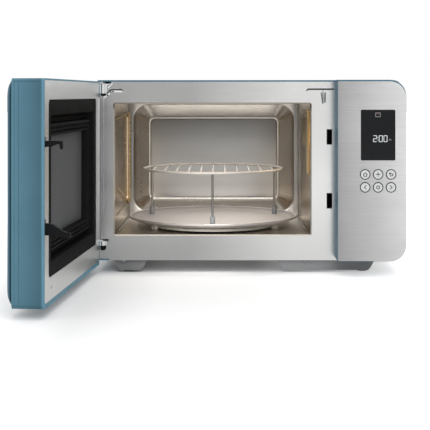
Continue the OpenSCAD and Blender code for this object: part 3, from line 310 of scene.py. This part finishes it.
# The grid's wires, a pale satin paint in place of chrome that stands for their bright reflections: painted
# reflection
grid_chrome = painted_steel("bright_satin_wire", "#a39e98", "#b0aba5", 0.35)
# Grey silicone sleeves
sleeve_silicone = moulded_plastic("grey_silicone", "#6a6d6f", "#75787a", 0.6)
# Off-white heat-proof plastic of the ring, the rollers and the coupler
heat_plastic = moulded_plastic("off_white_heat_plastic", "#cfccc3", "#dedbd2", 0.45)
# Silver-painted button caps
button_silver = brushed_metal("silver_painted_caps", "#c3c5c5", "#d2d4d4", (30, 30, 0.45), 0.4)
# Printed dark-grey marks on the caps
print_grey = moulded_plastic("dark_grey_pad_print", "#33373a", "#3d4144", 0.5, gloss=0.1)
# Dark strips that stand for the shade in the slots of the frame's pressings: painted shade
slot_shade = moulded_plastic("painted_shade_in_slots", "#323436", "#3c3e40", 0.6, gloss=0.1)
# Dark grey that stands for the shade in the folds of the frame's sheet: painted shade
fold_shade_grey = moulded_plastic("painted_shade_sheet_folds", "#6c6e6f", "#77797a", 0.55, gloss=0.2)
# Rolled edge of the opening, darker along its top: painted shade
bead_steel = brushed_metal("polished_rolled_edge", "#cfc8bb", "#e0d9cc", (4, 4, 4), 0.2,
                           painted_runs=[("Z", 262, 255, 0.22)])
# A brighter copy of the steel for the bent edges of the frame's channels and other bright lines: painted highlight
highlight_steel = brushed_metal("painted_highlight_bent_edges", "#f2f2f2", "#fafafa", (4, 4, 4), 0.15)
# Warm gold lines on the edges of the pressed field on the side wall: painted highlight
warm_glint_steel = brushed_metal("painted_warm_highlight_edges", "#d8b878", "#e6c98c", (6, 6, 6), 0.25)


def printed_circuit(name, dark, light):
    """Circuit board: solder mask with fine copper tracks showing through."""
    made, tree, place = start(name)
    tracks = add(tree, "ShaderNodeTexBrick", {
        "Vector": place, "Scale": 160.0, "Mortar Size": 0.06, "Color1": srgb(dark), "Color2": srgb(light),
        "Mortar": srgb("#3f7a52")})
    shader = add(tree, "ShaderNodeBsdfPrincipled", {"Base Color": tracks.outputs["Color"], "Roughness": 0.35})
    return finish(made, tree, shader)


# Control board and filter board
green_board = printed_circuit("green_solder_mask", "#1d4a30", "#23563a")
brown_board = printed_circuit("brown_phenolic_board", "#6d5a2c", "#7c6936")


def tinted_sheet(name, dark, light, roughness, clear):
    """Tinted glazing: dark body colour, smooth face, faint flow marks."""
    made, tree, place = start(name)
    flow = marks(tree, place, (90, 90, 90), 1.0)
    shader = add(tree, "ShaderNodeBsdfPrincipled", {
        "Base Color": tint(tree, flow, dark, light), "Roughness": roughness, "IOR": 1.5,
        "Transmission Weight": clear, "Specular IOR Level": 0.22})
    return finish(made, tree, shader)


# Smoked acrylic over the display
smoked_acrylic = tinted_sheet("smoked_acrylic", "#101113", "#151618", 0.12, 0.0)
# Smoked safety glass of the door
smoked_glass = tinted_sheet("smoked_safety_glass", "#1a1c1e", "#202224", 0.06, 0.0)
# Clear bulb glass with a warm cast
bulb_glass = tinted_sheet("warm_bulb_glass", "#ffe9b0", "#fff0c4", 0.05, 0.6)


def lit_reflector():
    """Bright anodised duct behind the perforations, with a painted warm glow that stands for the lamp light on it.
    """
    made, tree, place = start("lamp_lit_reflector")
    glow = marks(tree, place, (12, 12, 40), 1.0)
    shader = add(tree, "ShaderNodeBsdfPrincipled", {
        "Base Color": srgb("#d8c9a0"), "Metallic": 0.6, "Roughness": 0.4,
        "Emission Color": tint(tree, glow, "#e0b45a", "#ffe2a0"), "Emission Strength": 1.6})
    return finish(made, tree, shader)


lamp_reflector = lit_reflector()


def lit_perforation():
    """Rows of small holes, with a painted glow that stands for warm lamp light behind them."""
    made, tree, place = start("lamp_lit_perforation")
    rows = add(tree, "ShaderNodeTexWave", {"Vector": place, "Scale": 90.0},
               wave_type="BANDS", bands_direction="Z").outputs["Fac"]
    shader = add(tree, "ShaderNodeBsdfPrincipled", {
        "Base Color": tint(tree, rows, "#5a4a30", "#cdb06e"), "Metallic": 0.3, "Roughness": 0.4,
        "Emission Color": srgb("#e0c48a"), "Emission Strength": ramp_value(tree, rows, 0.35, 0.75, 0.0, 0.4)})
    return finish(made, tree, shader)


# Holes over the lamp
lit_holes = lit_perforation()


def screen_steel():
    """Enamelled screen: rows of small holes, with the soft upright bands that they make together."""
    made, tree, place = start("perforated_enamelled_screen")
    turned = door_place(tree, place)
    holes = add(tree, "ShaderNodeTexVoronoi", {"Vector": turned, "Scale": 420.0, "Randomness": 0.0})
    bands = add(tree, "ShaderNodeTexWave", {"Vector": turned, "Scale": 22.0, "Distortion": 0.6, "Detail": 1.0},
                wave_type="BANDS", bands_direction="X")
    both = mixed(tree, 0.6, holes.outputs["Distance"], bands.outputs["Fac"])
    shader = add(tree, "ShaderNodeBsdfPrincipled", {
        "Base Color": tint(tree, both, "#46484a", "#505254"), "Roughness": 0.55})
    return finish(made, tree, shader)


mesh_screen = screen_steel()


def display_light(name, colour, strength):
    """Lit segment of the display: even light."""
    made, tree, place = start(name)
    soft = marks(tree, place, (3, 3, 3), 1.0)
    shader = add(tree, "ShaderNodeBsdfPrincipled", {
        "Base Color": srgb("#202224"), "Roughness": 0.4,
        "Emission Color": tint(tree, soft, colour, colour), "Emission Strength": strength})
    return finish(made, tree, shader)


digit_light = display_light("white_led_segments", "#e6ecf0", 0.95)
icon_light = display_light("grey_led_icon", "#8d9194", 0.7)
icon_red = display_light("red_led_icon", "#9a5a50", 0.7)

FINISHES = {
    cabinet_enamel: ["outer_cover", "control_housing", "door_skin"],
    door_enamel: ["door_frame"],
    frame_stainless: ["front_frame"],
    fascia_stainless: ["fascia_plate"],
    door_stainless: ["door_inner_plate"],
    cavity_stainless: ["cavity_roof", "cavity_back"],
    floor_stainless: ["cavity_floor"],
    wall_stainless: ["cavity_left_wall", "cavity_right_wall"],
    zinc_sheet: ["rear_panel", "waveguide", "magnetron", "grill_reflector", "turntable_motor"],
    base_coating: ["base_plate"],
    black_moulding: ["fan_shroud", "latch_housing", "cord_gland", "door_choke_frame", "latch_lever"],
    foot_rubber: ["feet"],
    mica_sheet: ["waveguide_cover"],
    lamination_steel: ["transformer_core"],
    copper_windings: ["transformer_windings"],
    aluminium_can: ["hv_capacitor"],
    motor_iron: ["fan_motor"],
    fan_plastic: ["fan_blade"],
    quartz_tube: ["grill_elements"],
    lamp_ceramic: ["lamp_holder"],
    bulb_glass: ["lamp_bulb"],
    switch_plastic: ["interlock_switches"],
    smoked_acrylic: ["display_window"],
    green_board: ["control_board"],
    brown_board: ["noise_filter"],
    lamp_reflector: ["lamp_duct"],
    mesh_screen: ["door_mesh_screen"],
    smoked_glass: ["door_glass"],
    pin_steel: ["door_hinge_pins", "latch_spring", "cover_screws", "hinge_bracket_top", "hinge_bracket_bottom"],
    tray_enamel: ["turntable_tray"],
    rack_chrome: ["rack_legs"],
    grid_chrome: ["rack_grid"],
    sleeve_silicone: ["rack_feet"],
    heat_plastic: ["drive_coupler", "roller_ring", "roller_wheel_a", "roller_wheel_b", "roller_wheel_c"],
    button_silver: ["button_home", "button_plus", "button_back", "button_less", "button_round", "button_more"],
}
for coat, names in FINISHES.items():
    for name in names:
        nodes[name].data.materials.clear()
        nodes[name].data.materials.append(coat)


# ---------------------------------------------------------------- modelling helpers

def clear():
    """Leaves edit mode and deselects everything, so that the next operator acts on the new piece alone."""
    if bpy.context.object and bpy.context.object.mode != "OBJECT":
        bpy.ops.object.mode_set(mode="OBJECT")
    bpy.ops.object.select_all(action="DESELECT")


def edit(select="SELECT"):
    """Enters edit mode with all or nothing selected."""
    bpy.ops.object.mode_set(mode="EDIT")
    bpy.ops.mesh.select_all(action=select)


def join(pieces):
    """Joins pieces into the first one and leaves it active."""
    clear()
    for piece in pieces:
        piece.select_set(True)
    bpy.context.view_layer.objects.active = pieces[0]
    if len(pieces) > 1:
        bpy.ops.object.join()
    return bpy.context.object


def modify(kind, **settings):
    """Adds a modifier to the active piece and applies it."""
    change = bpy.context.object.modifiers.new(kind.lower(), kind)
    for name, value in settings.items():
        setattr(change, name, value)
    bpy.ops.object.modifier_apply(modifier=change.name)


def settle(name, body, coat, place=None):
    """Names the active piece, puts its place into its mesh and lets it ride on its body."""
    piece = bpy.context.object
    bpy.ops.object.transform_apply(location=True, rotation=True, scale=True)
    if place is not None:
        piece.data.transform(place)
    piece.name = piece.data.name = name
    piece.data.materials.clear()
    piece.data.materials.append(coat)
    bpy.ops.object.shade_smooth_by_angle(angle=math.radians(35))
    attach(piece, body)
    return piece


def outline(rect, corner, y, steps, filled=False):
    """A rounded rectangle in X and Z at depth y, as an outline or a face."""
    x0, z0, x1, z1 = rect
    clear()
    bpy.ops.mesh.primitive_plane_add(size=MM, location=((x0 + x1) / 2 * MM, y * MM, (z0 + z1) / 2 * MM),
                                     rotation=(math.pi / 2, 0, 0))
    bpy.context.object.scale = (x1 - x0, z1 - z0, 1)
    bpy.ops.object.transform_apply(location=True, rotation=True, scale=True)
    edit()
    bpy.ops.mesh.bevel(offset=corner * MM, segments=steps, affect="VERTICES", clamp_overlap=False)
    if not filled:
        bpy.ops.mesh.delete(type="ONLY_FACE")
    bpy.ops.object.mode_set(mode="OBJECT")
    return bpy.context.object


def loft(rings, steps=6, facing=-1, closed=True):
    """A skin over rounded rectangles, each (rectangle, corner radius, depth), that faces -Y or +Y."""
    bands = []
    for near, far in zip(rings, rings[1:]):
        join([outline(*near, steps), outline(*far, steps)])
        edit()
        bpy.ops.mesh.bridge_edge_loops()
        bpy.ops.object.mode_set(mode="OBJECT")
        bands.append(bpy.context.object)
    if closed:
        bands.append(outline(*rings[-1], steps, filled=True))
    skin = join(bands)
    edit()
    bpy.ops.mesh.remove_doubles(threshold=0.00001)
    bpy.ops.mesh.normals_make_consistent(inside=False)
    bpy.ops.object.mode_set(mode="OBJECT")
    lean = sum(f.normal.y * f.area for f in skin.data.polygons)
    if lean * facing < 0:
        edit()
        bpy.ops.mesh.flip_normals()
        bpy.ops.object.mode_set(mode="OBJECT")
    return skin


def inset(rect, by):
    """A rectangle taken in by the same width on each side."""
    x0, z0, x1, z1 = rect
    return (x0 + by, z0 + by, x1 - by, z1 - by)


def toward(a, b, t):
    """A rectangle on the way from a to b."""
    return tuple(p + (q - p) * t for p, q in zip(a, b))


def block(low, high, edge):
    """A box between two corners with bevelled edges."""
    clear()
    middle = [(a + b) / 2 * MM for a, b in zip(low, high)]
    bpy.ops.mesh.primitive_cube_add(size=MM, location=middle)
    bpy.context.object.scale = [b - a for a, b in zip(low, high)]
    bpy.ops.object.transform_apply(location=True, rotation=True, scale=True)
    modify("BEVEL", width=edge * MM, segments=2, limit_method="NONE")


def dome(radius, flatness, x, y, z):
    """A round head, flattened along Y."""
    clear()
    bpy.ops.mesh.primitive_uv_sphere_add(segments=24, ring_count=12, radius=radius * MM,
                                         location=(x * MM, y * MM, z * MM))
    bpy.context.object.scale = (1, flatness, 1)
    bpy.ops.object.transform_apply(location=True, rotation=True, scale=True)
    modify("BEVEL", width=0.1 * MM, segments=1, limit_method="ANGLE", angle_limit=math.radians(60))


def stroke(points, width, y, rise):
    """A printed or pressed line in X and Z along points, with bevelled ends, standing out from depth y."""
    parts = []
    for (xa, za), (xb, zb) in zip(points, points[1:]):
        length = math.hypot(xb - xa, zb - za) + width
        clear()
        middle = ((xa + xb) / 2 * MM, (y - rise / 2) * MM, (za + zb) / 2 * MM)
        turn = (0, -math.atan2(zb - za, xb - xa), 0)
        bpy.ops.mesh.primitive_cube_add(size=MM, location=middle, rotation=turn)
        bpy.context.object.scale = (length, rise, width)
        bpy.ops.object.transform_apply(location=True, rotation=True, scale=True)
        modify("BEVEL", width=min(rise, width) * 0.3 * MM, segments=1, limit_method="NONE")
        parts.append(bpy.context.object)
    return parts


def draw(*lines):
    """Strokes joined into one piece; each line is its points, width, depth and rise."""
    join([part for line in lines for part in stroke(*line)])


def circle(x, z, r, count, last=360):
    """Points on a circle, or on its first degrees up to last."""
    turns = [math.radians(last * i / count) for i in range(count + 1)]
    return [(x + r * math.cos(turn), z + r * math.sin(turn)) for turn in turns]


# ---------------------------------------------------------------- cavity

# Back wall with its dished recess and soft fillets: each ring is a rectangle, its corner radius and its depth
behind_walls = (wall_left - 1, floor_top - 1, wall_right + 1, roof_under + 1)
recess_mouth = (wall_left + 6.5, floor_top + 9, wall_right - 6.5, roof_under - 8)
recess_floor = (wall_left + 33, floor_top + 29, wall_right - 33, roof_under - 32.5)
loft([(behind_walls, 0.5, back_face), (recess_mouth, 27, back_face), (recess_floor, 11, dish_deep)], steps=8)
modify("BEVEL", width=2.0 * MM, segments=4, limit_method="ANGLE", angle_limit=math.radians(25))
modify("SOLIDIFY", thickness=MM, offset=-1)
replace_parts(settle("cavity_back_pressing", "cabinet", pressing_stainless), "cavity_back")

# Raised flat in the recess, with a soft step round it
loft([(inset(recess_floor, 2.4), 9, dish_deep - 0.05), (inset(recess_floor, 3.8), 8, dish_deep - 2.2)], steps=8)
modify("BEVEL", width=1.2 * MM, segments=3, limit_method="ANGLE", angle_limit=math.radians(25))
settle("cavity_back_flat", "cabinet", panel_stainless)

# Edges of the field pressed into the left wall, through these corners in Y and Z, drawn in warm gold as painted
# highlight
field_corners = [(13, 242), (245, 248), (245, 84), (24, 129)]
draw((field_corners, 2.0, 0, 2.2))
settle("left_wall_field_edge", "cabinet", warm_glint_steel,
       Matrix.Translation((wall_left * MM, 0, 0)) @ SIDEWAYS)
# Seams where the floor meets the side walls, in the bright steel of painted highlights
seam_wide, seam_high = 2.4, 2
seam_front, seam_back = -18, 262
for name, near in (("left", wall_left), ("right", wall_right - seam_wide)):
    block((near, seam_front, floor_top), (near + seam_wide, seam_back, floor_top + seam_high), 0.8)
    settle("floor_seam_" + name, "cabinet", highlight_steel)
# Lit perforations by the opening on the right wall, between these places in Y and Z
holes_front, holes_back = 2, 44
holes_low, holes_high = 152, 256
block((wall_right - 0.4, holes_front, holes_low), (wall_right - 0.05, holes_back, holes_high), 0.1)
settle("lamp_perforations", "cabinet", lit_holes)

# Bead on the tray's rim in bright steel (painted highlight), and the foot of the rim in dark grey (painted shade)
tray_reach = (tray_high.x - tray_low.x) / 2
for name, reach, wire, z, coat in (("rim_bead", tray_reach - 1.2, 0.8, tray_high.z - 0.5, highlight_steel),
                                   ("rim_foot", tray_reach - 13, 0.7, tray_high.z - 5, fold_shade_grey)):
    clear()
    bpy.ops.mesh.primitive_torus_add(major_segments=128, minor_segments=12,
                                     major_radius=reach * MM, minor_radius=wire * MM,
                                     location=(tray_middle.x * MM, tray_middle.y * MM, z * MM))
    edit()
    bpy.ops.transform.resize(value=(1, 1, 0.55))
    bpy.ops.object.mode_set(mode="OBJECT")
    settle("tray_" + name, "tray", coat)

# Bright rolled edge round the opening: how far in, corner radius and depth behind the frame's face
lip_steps = [(-1.7, 3.7, -0.02), (-1.1, 3.1, -0.45), (-0.4, 2.4, -0.5), (0.2, 1.8, -0.05), (0.25, 1.8, 8.9)]
loft([(inset(mouth, by), corner, face_y + depth) for by, corner, depth in lip_steps], steps=5, closed=False)
settle("opening_rolled_edge", "cabinet", bead_steel)

# ---------------------------------------------------------------- front frame's pressings

channel_z = 289.2
fold_top, fold_low = 276.4, 54.0
PRESSINGS = [
    # Long channel beside the panel, turned down at its end, its shade painted as a dark strip
    ("channel_right_shadow", slot_shade, "frame_stainless",
     ([(284.5, channel_z), (325, channel_z)], 2.4, face_y + 0.35, 0.35),
     ([(284.2, channel_z), (282.2, 287.6)], 2.2, face_y + 0.1, 0.3)),
    # Short channel that sweeps up from the upper hinge: its upper side in painted shade and its lower side in
    # painted highlight
    ("channel_left_shadow", slot_shade, "frame_stainless",
     ([(-32.0, 283.0), (-27.6, 287.2), (-25.0, 288.5), (-10.6, 288.5), (-8.0, 287.0)], 1.9, face_y, 0.25)),
    ("channel_left_highlight", highlight_steel, "frame_stainless",
     ([(-36.5, 276.6), (-31.6, 279.6), (-26.6, 284.4), (-23.0, 285.6), (-9.6, 285.6)], 2.8, face_y, 0.3)),
    # Bent edge at the notch over the hinge, as a painted highlight
    ("notch_bent_edge", highlight_steel, "frame_stainless", ([(-24.2, 298.0), (-30.4, 291.6)], 1.6, face_y, 0.3)),
    # Spring clip below the long channel, its legs drawn dark as painted shade
    ("spring_clip_legs", fold_shade_grey, "zinc_sheet",
     ([(305.3, 282.6), (307.2, 267.8)], 2.6, face_y, 0.35), ([(310.9, 282.8), (310.5, 269.4)], 2.6, face_y, 0.35)),
    ("spring_clip_web", zinc_sheet, "zinc_sheet", ([(307.4, 286.4), (308.8, 272.0)], 1.8, face_y, 0.2)),
    # Two upright folds beside the hinge side, drawn as darker lines of painted shade
    ("fold_outer", fold_shade_grey, "frame_stainless", ([(-42.6, fold_top), (-42.6, fold_low)], 2.0, face_y, 0.15)),
    ("fold_inner", zinc_sheet, "frame_stainless", ([(-37.6, fold_top), (-37.6, fold_low)], 1.2, face_y, 0.12)),
]
for name, coat, slot, *lines in PRESSINGS:
    draw(*lines)
    settle(name, "cabinet", coat)

# Black cups at the hinge lugs, drawn in at the foot; their black stands for the shade in the frame's pockets:
# painted shade
cup_radius = 5.2
cup_taper = 0.7
for name, low, high in (("top", 278.6, 282.3), ("bottom", 35.6, 42.7)):
    clear()
    bpy.ops.mesh.primitive_cylinder_add(vertices=32, radius=cup_radius * MM, depth=(high - low) * MM,
                                        location=((hinge.x + 0.3) * MM, (hinge.y + 0.2) * MM, (high + low) / 2 * MM))
    edit("DESELECT")
    bpy.ops.object.mode_set(mode="OBJECT")
    cup = bpy.context.object
    for face in cup.data.polygons:
        face.select = face.normal.z < -0.9
    bpy.ops.object.mode_set(mode="EDIT")
    bpy.ops.transform.resize(value=(cup_taper, cup_taper, 1))
    bpy.ops.object.mode_set(mode="OBJECT")
    modify("BEVEL", width=0.4 * MM, segments=2, limit_method="ANGLE", angle_limit=math.radians(40))
    settle("hinge_cup_" + name, "cabinet", black_moulding)

# Round rivets at the base's upper edge
rivet_y = span("base_plate")[0].y + 0.6
for name, x, z in (("left", -6.2, 18.3), ("right", 280.0, 17.9)):
    dome(2.1, 0.5, x, rivet_y, z)
    settle("base_rivet_" + name, "cabinet", zinc_sheet)

# ---------------------------------------------------------------- door

# Stepped choke frame with a ribbed groove: share of the way from its edge to the pane, depth below the door's
# face and corner radius
choke_steps = [
    (0.002, 4.0, 7), (0.002, 1.4, 7), (0.02, 0.5, 6), (0.385, 0.5, 6), (0.415, 1.6, 5.5), (0.43, 14.5, 5.5),
    (0.45, 15.5, 5), (0.50, 15.5, 5), (0.51, 10.5, 5), (0.55, 10.5, 5), (0.56, 15.5, 5), (0.62, 15.5, 5),
    (0.64, 14.0, 4.5), (0.66, 4.4, 4), (0.69, 3.2, 4), (0.74, 3.2, 4), (0.75, 6.4, 4), (0.79, 6.4, 4),
    (0.80, 3.8, 4), (0.85, 3.8, 3.5), (0.86, 7.2, 3.5), (0.90, 7.2, 3.5), (0.91, 4.6, 3), (0.98, 5.4, 3),
    (1.0, 13.8, 3),
]
loft([(toward(choke, pane, share), corner, door_inner - depth) for share, depth, corner in choke_steps],
     steps=5, facing=1, closed=False)
modify("BEVEL", width=0.5 * MM, segments=2, limit_method="ANGLE", angle_limit=math.radians(30))
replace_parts(settle("choke_frame_ribbed", "door", choke_black, DOOR), "door_choke_frame")

# Inner sheet over the perforated screen, which shows the screen's bands
sheet_x0, sheet_z0, sheet_x1, sheet_z1 = inset(pane, -2)
sheet_face = door_inner - 13.7
sheet_thick = 0.9
block((sheet_x0, sheet_face - sheet_thick, sheet_z0), (sheet_x1, sheet_face, sheet_z1), 0.2)
settle("door_inner_sheet", "door", mesh_screen, DOOR)

# Bright strip over the rim on the hinge side
strip_foot, strip_head = 52, 276
block((door_left + 0.1, door_inner + 0.05, strip_foot), (door_left + 3.6, door_inner + 0.45, strip_head), 0.15)
settle("door_hinge_strip", "door", door_stainless, DOOR)

# Small round dimple low on the inner plate
dome(2.4, 0.12, 325, door_inner - 0.1, 35)
settle("plate_dimple", "door", zinc_sheet, DOOR)

# Coil spring of the latch lever, which shortens with the lever's travel: round wire, modelled at one length in a
# mesh of its own
coil_low, coil_high = span("latch_spring")
coil_middle = (coil_low + coil_high) / 2
coil_long = coil_high.z - coil_low.z
coil_wire = 0.5
coil_reach = 2.4
coil_turns = 6
clear()
bpy.ops.mesh.primitive_circle_add(vertices=12, radius=coil_wire * MM, rotation=(math.pi / 2, 0, 0),
                                  location=(coil_middle.x * MM, coil_middle.y * MM, (coil_low.z + coil_wire) * MM))
bpy.ops.object.transform_apply(location=False, rotation=True, scale=False)
edit()
bpy.ops.transform.translate(value=(coil_reach * MM, 0, 0))
bpy.ops.object.mode_set(mode="OBJECT")
modify("SCREW", axis="Z", angle=2 * math.pi, steps=24, render_steps=24, iterations=coil_turns,
       screw_offset=(coil_long - 2 * coil_wire) / coil_turns * MM)
edit()
bpy.ops.mesh.fill_holes(sides=0)
bpy.ops.mesh.normals_make_consistent(inside=False)
bpy.ops.object.mode_set(mode="OBJECT")
coil = settle("latch_coil_spring", "door", pin_steel)
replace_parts(coil, "latch_spring")
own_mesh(coil)

# Seam between the door's painted frame and its skin, a dark band of painted shade
skin_edge = (-9, door_foot, door_right, door_head)
seam = inset(skin_edge, 0.55)
seam_corner = 23.4
frame_side, skin_side = -46.85, -49.05
loft([(seam, seam_corner, frame_side), (seam, seam_corner, skin_side)], steps=8, closed=False)
settle("skin_seam", "door", seam_shade_enamel, DOOR)

# Shallow folds on the door's narrow side, one near each end and two upright ones by the skin, drawn in the darker
# enamel as painted shade
cross_folds = [([(-44, z), (-9, z)], 0.7, 0, 0.2) for z in (door_foot + 4.4, door_head - 3.6)]
upright_folds = [([(y, door_foot + 5), (y, door_head - 4)], 0.6, 0, 0.1) for y in (-43, -37.4)]
draw(*cross_folds, *upright_folds)
settle("side_folds", "door", fold_shade_enamel,
       DOOR @ Matrix.Translation((door_right * MM, 0, 0)) @ SIDEWAYS)

# ---------------------------------------------------------------- control panel

SEGMENTS = {"2": "abged", "0": "abcdef"}
DIGIT_WIDE = 4.9
DIGIT_HIGH = 9.2
SEGMENT_GAP = 0.5
SEGMENT_WIDE = 0.95
# The lit parts stand proud of the window by this much
PROUD = 0.06


def digit(sign, x, z):
    """Seven-segment digit with its lower left corner at x, z."""
    w, h, g = DIGIT_WIDE, DIGIT_HIGH, SEGMENT_GAP
    ends = {"a": [(g, h), (w - g, h)], "g": [(g, h / 2), (w - g, h / 2)], "d": [(g, 0), (w - g, 0)],
            "f": [(0, h / 2 + g), (0, h - g)], "b": [(w, h / 2 + g), (w, h - g)],
            "e": [(0, g), (0, h / 2 - g)], "c": [(w, g), (w, h / 2 - g)]}
    return [([(x + px, z + pz) for px, pz in ends[name]], SEGMENT_WIDE, window_y, PROUD) for name in SEGMENTS[sign]]


centre_x = (window_low.x + window_high.x) / 2
digit_z = 208.6
shown = digit("2", centre_x - 7.2, digit_z)
shown += digit("0", centre_x + 1.6, digit_z) + digit("0", centre_x + 8.8, digit_z)
for dot in (2.6, 6.6):
    shown.append(([(centre_x - 0.5, digit_z + dot), (centre_x - 0.2, digit_z + dot)], 1.0, window_y, PROUD))
draw(*shown)
settle("display_digits", "cabinet", digit_light)

# Small mark beside the digits: an arch over a stem
mark_x, mark_z = centre_x + 18.2, digit_z + 2.0
draw((circle(mark_x, mark_z, 1.6, 12, 180), 0.8, window_y, 0.05),
     ([(mark_x, mark_z), (mark_x, mark_z + 2.6)], 0.7, window_y, 0.05))
settle("display_small_mark", "cabinet", icon_light)

# Oven mark above the digits: a box with a lamp in it
box_left, box_right, box_foot, box_head = centre_x - 3.9, centre_x + 3.3, 246.8, 252.8
draw(([(box_left, box_foot), (box_left, box_head), (box_right, box_head), (box_right, box_foot),
       (box_left, box_foot)], 0.9, window_y, PROUD))
settle("display_box_mark", "cabinet", icon_light)
draw(([(centre_x - 2.4, 251.2), (centre_x + 1.8, 251.2)], 0.8, window_y, PROUD))
settle("display_box_lamp", "cabinet", icon_red)

# Signs on the caps, about each cap's middle, and the ring round them
SIGN_WIDE = 1.05
RING_RADIUS = 7.25
RING_WIDE = 1.1
PRINT_THICK = 0.05
KEY_MARKS = {
    "home": [[(-3, -0.4), (0, 2.8), (3, -0.4)], [(-2.2, 0), (-2.2, -2.8), (2.2, -2.8), (2.2, 0)]],
    "plus": [[(-2.9, 0), (2.9, 0)], [(0, -2.9), (0, 2.9)]],
    "back": [[(-2.8, 1.2), (1.4, 1.2), (2.6, 0.2), (2.6, -1.2), (1.4, -2.2), (-1.6, -2.2)],
             [(-1.2, 2.8), (-2.8, 1.2), (-1.2, -0.4)]],
    "less": [[(1.4, 2.8), (-1.4, 0), (1.4, -2.8)]],
    "round": [circle(0, 0, 2.3, 16)],
    "more": [[(-1.4, 2.8), (1.4, 0), (-1.4, -2.8)]],
}
for name, lines in KEY_MARKS.items():
    low, high = span("button_" + name)
    x, z = (low.x + high.x) / 2, (low.z + high.z) / 2
    signs = [([(x + px, z + pz) for px, pz in line], SIGN_WIDE, low.y, PRINT_THICK) for line in lines]
    draw(*signs, (circle(x, z, RING_RADIUS, 32), RING_WIDE, low.y, PRINT_THICK))
    settle("mark_" + name, "key_" + name, print_grey)

# ---------------------------------------------------------------- floor, light and camera

def studio_floor():
    """Pale matt floor that runs out to pure white away from the object and keeps its shadow near it, with painted
    light that lightens that shadow right of it, left of it and under it.
    """
    made, tree, place = start("pale_studio_floor")
    cloud = marks(tree, place, (900, 900, 900), 1.0)
    reach = add(tree, "ShaderNodeVectorMath", {0: place, 1: (0.19, -0.1, 0.0)}, operation="DISTANCE")
    lift = ramp_value(tree, reach.outputs["Value"], 0.35, 1.1, 0.0, 0.62, interpolation_type="SMOOTHSTEP")
    side = add(tree, "ShaderNodeVectorMath", {0: place, 1: (1, 0, 0)}, operation="DOT_PRODUCT").outputs["Value"]
    # Painted light over the floor's shadow, right of the object, left of it and under it: where the lift starts and
    # ends along X, and its height
    for first, last, most in ((0.2, 0.44, 0.5), (-0.04, -0.2, 0.4), (-0.03, 0.06, 0.11)):
        more = ramp_value(tree, side, first, last, 0.0, most)
        lift = add(tree, "ShaderNodeMath", {0: lift, 1: more}, operation="ADD").outputs[0]
    seen = add(tree, "ShaderNodeLightPath").outputs["Is Camera Ray"]
    lift = add(tree, "ShaderNodeMath", {0: lift, 1: seen}, operation="MULTIPLY").outputs[0]
    body = add(tree, "ShaderNodeBsdfDiffuse", {"Color": tint(tree, cloud, "#f0f0f0", "#f2f2f2")})
    glow = add(tree, "ShaderNodeEmission", {"Color": srgb("#ffffff"), "Strength": lift})
    return finish(made, tree, add(tree, "ShaderNodeAddShader", {0: body.outputs[0], 1: glow.outputs[0]}))


clear()
bpy.ops.mesh.primitive_plane_add(size=30, location=(0, 0, 0))
floor = bpy.context.object
floor.name = "studio_floor"
floor.data.materials.append(studio_floor())

# White all round: full to the camera, softer as a light and as a reflection
world = bpy.data.worlds.new("soft_studio")
bpy.context.scene.world = world
world.use_nodes = True
sky_tree = world.node_tree
sky_tree.nodes.clear()
paths = add(sky_tree, "ShaderNodeLightPath").outputs
seen = add(sky_tree, "ShaderNodeMath", {0: paths["Is Camera Ray"], 1: paths["Is Transmission Ray"]},
           operation="MAXIMUM")
unseen = ramp_value(sky_tree, paths["Is Glossy Ray"], 0.0, 1.0, 0.74, 0.86)
sky = add(sky_tree, "ShaderNodeBackground", {
    "Color": (1, 1, 1, 1), "Strength": mixed(sky_tree, seen.outputs[0], unseen, 1.0)})
add(sky_tree, "ShaderNodeOutputWorld", {"Surface": sky.outputs[0]})


def softbox(name, place, aim, size, power, colour=(1, 1, 1), spread=180):
    """A square soft lamp at place, pointed at aim, in metres.

    The camera doesn't see it, and only a large one shows in reflections.
    """
    clear()
    bpy.ops.object.light_add(type="AREA", location=place)
    lamp = bpy.context.object
    lamp.name = name
    lamp.rotation_euler = (Vector(aim) - Vector(place)).to_track_quat("-Z", "Y").to_euler()
    lamp.data.size = size
    lamp.data.energy = power
    lamp.data.color = colour
    lamp.data.spread = math.radians(spread)
    lamp.visible_camera = False
    lamp.visible_glossy = size > 1


softbox("front_softbox", (0.5, -2.4, 1.5), (0.2, 0, 0.15), 1.6, 24)
softbox("top_softbox", (0.1, -0.3, 2.2), (0.15, 0, 0.1), 1.8, 12)
WARM_WHITE = (1.0, 0.97, 0.93)
LAMP_YELLOW = (1.0, 0.8, 0.55)
softbox("cavity_fill", (0.1335, 0.09, 0.264), (0.1335, 0.13, 0.06), 0.16, 0.4, WARM_WHITE, 140)
softbox("tray_fill", (0.11, -0.05, 0.11), (0.12, 0.1, 0.066), 0.12, 0.11, WARM_WHITE, 140)
softbox("cavity_lamp", (0.283, 0.02, 0.22), (0.0, 0.2, 0.12), 0.04, 0.1, LAMP_YELLOW, 120)

# Level camera in front, with its picture shifted down to the object
camera_data = bpy.data.cameras.new("front_camera")
camera = bpy.data.objects.new("front_camera", camera_data)
bpy.context.scene.collection.objects.link(camera)
camera.location = (0.14695, -1.72204, 0.28152)
camera.rotation_euler = (math.radians(90), 0, 0)
camera_data.sensor_width = 36
camera_data.lens = 90.0
camera_data.shift_x = -0.0139
camera_data.shift_y = -0.2812
bpy.context.scene.camera = camera
bpy.context.scene.view_settings.view_transform = "Standard"
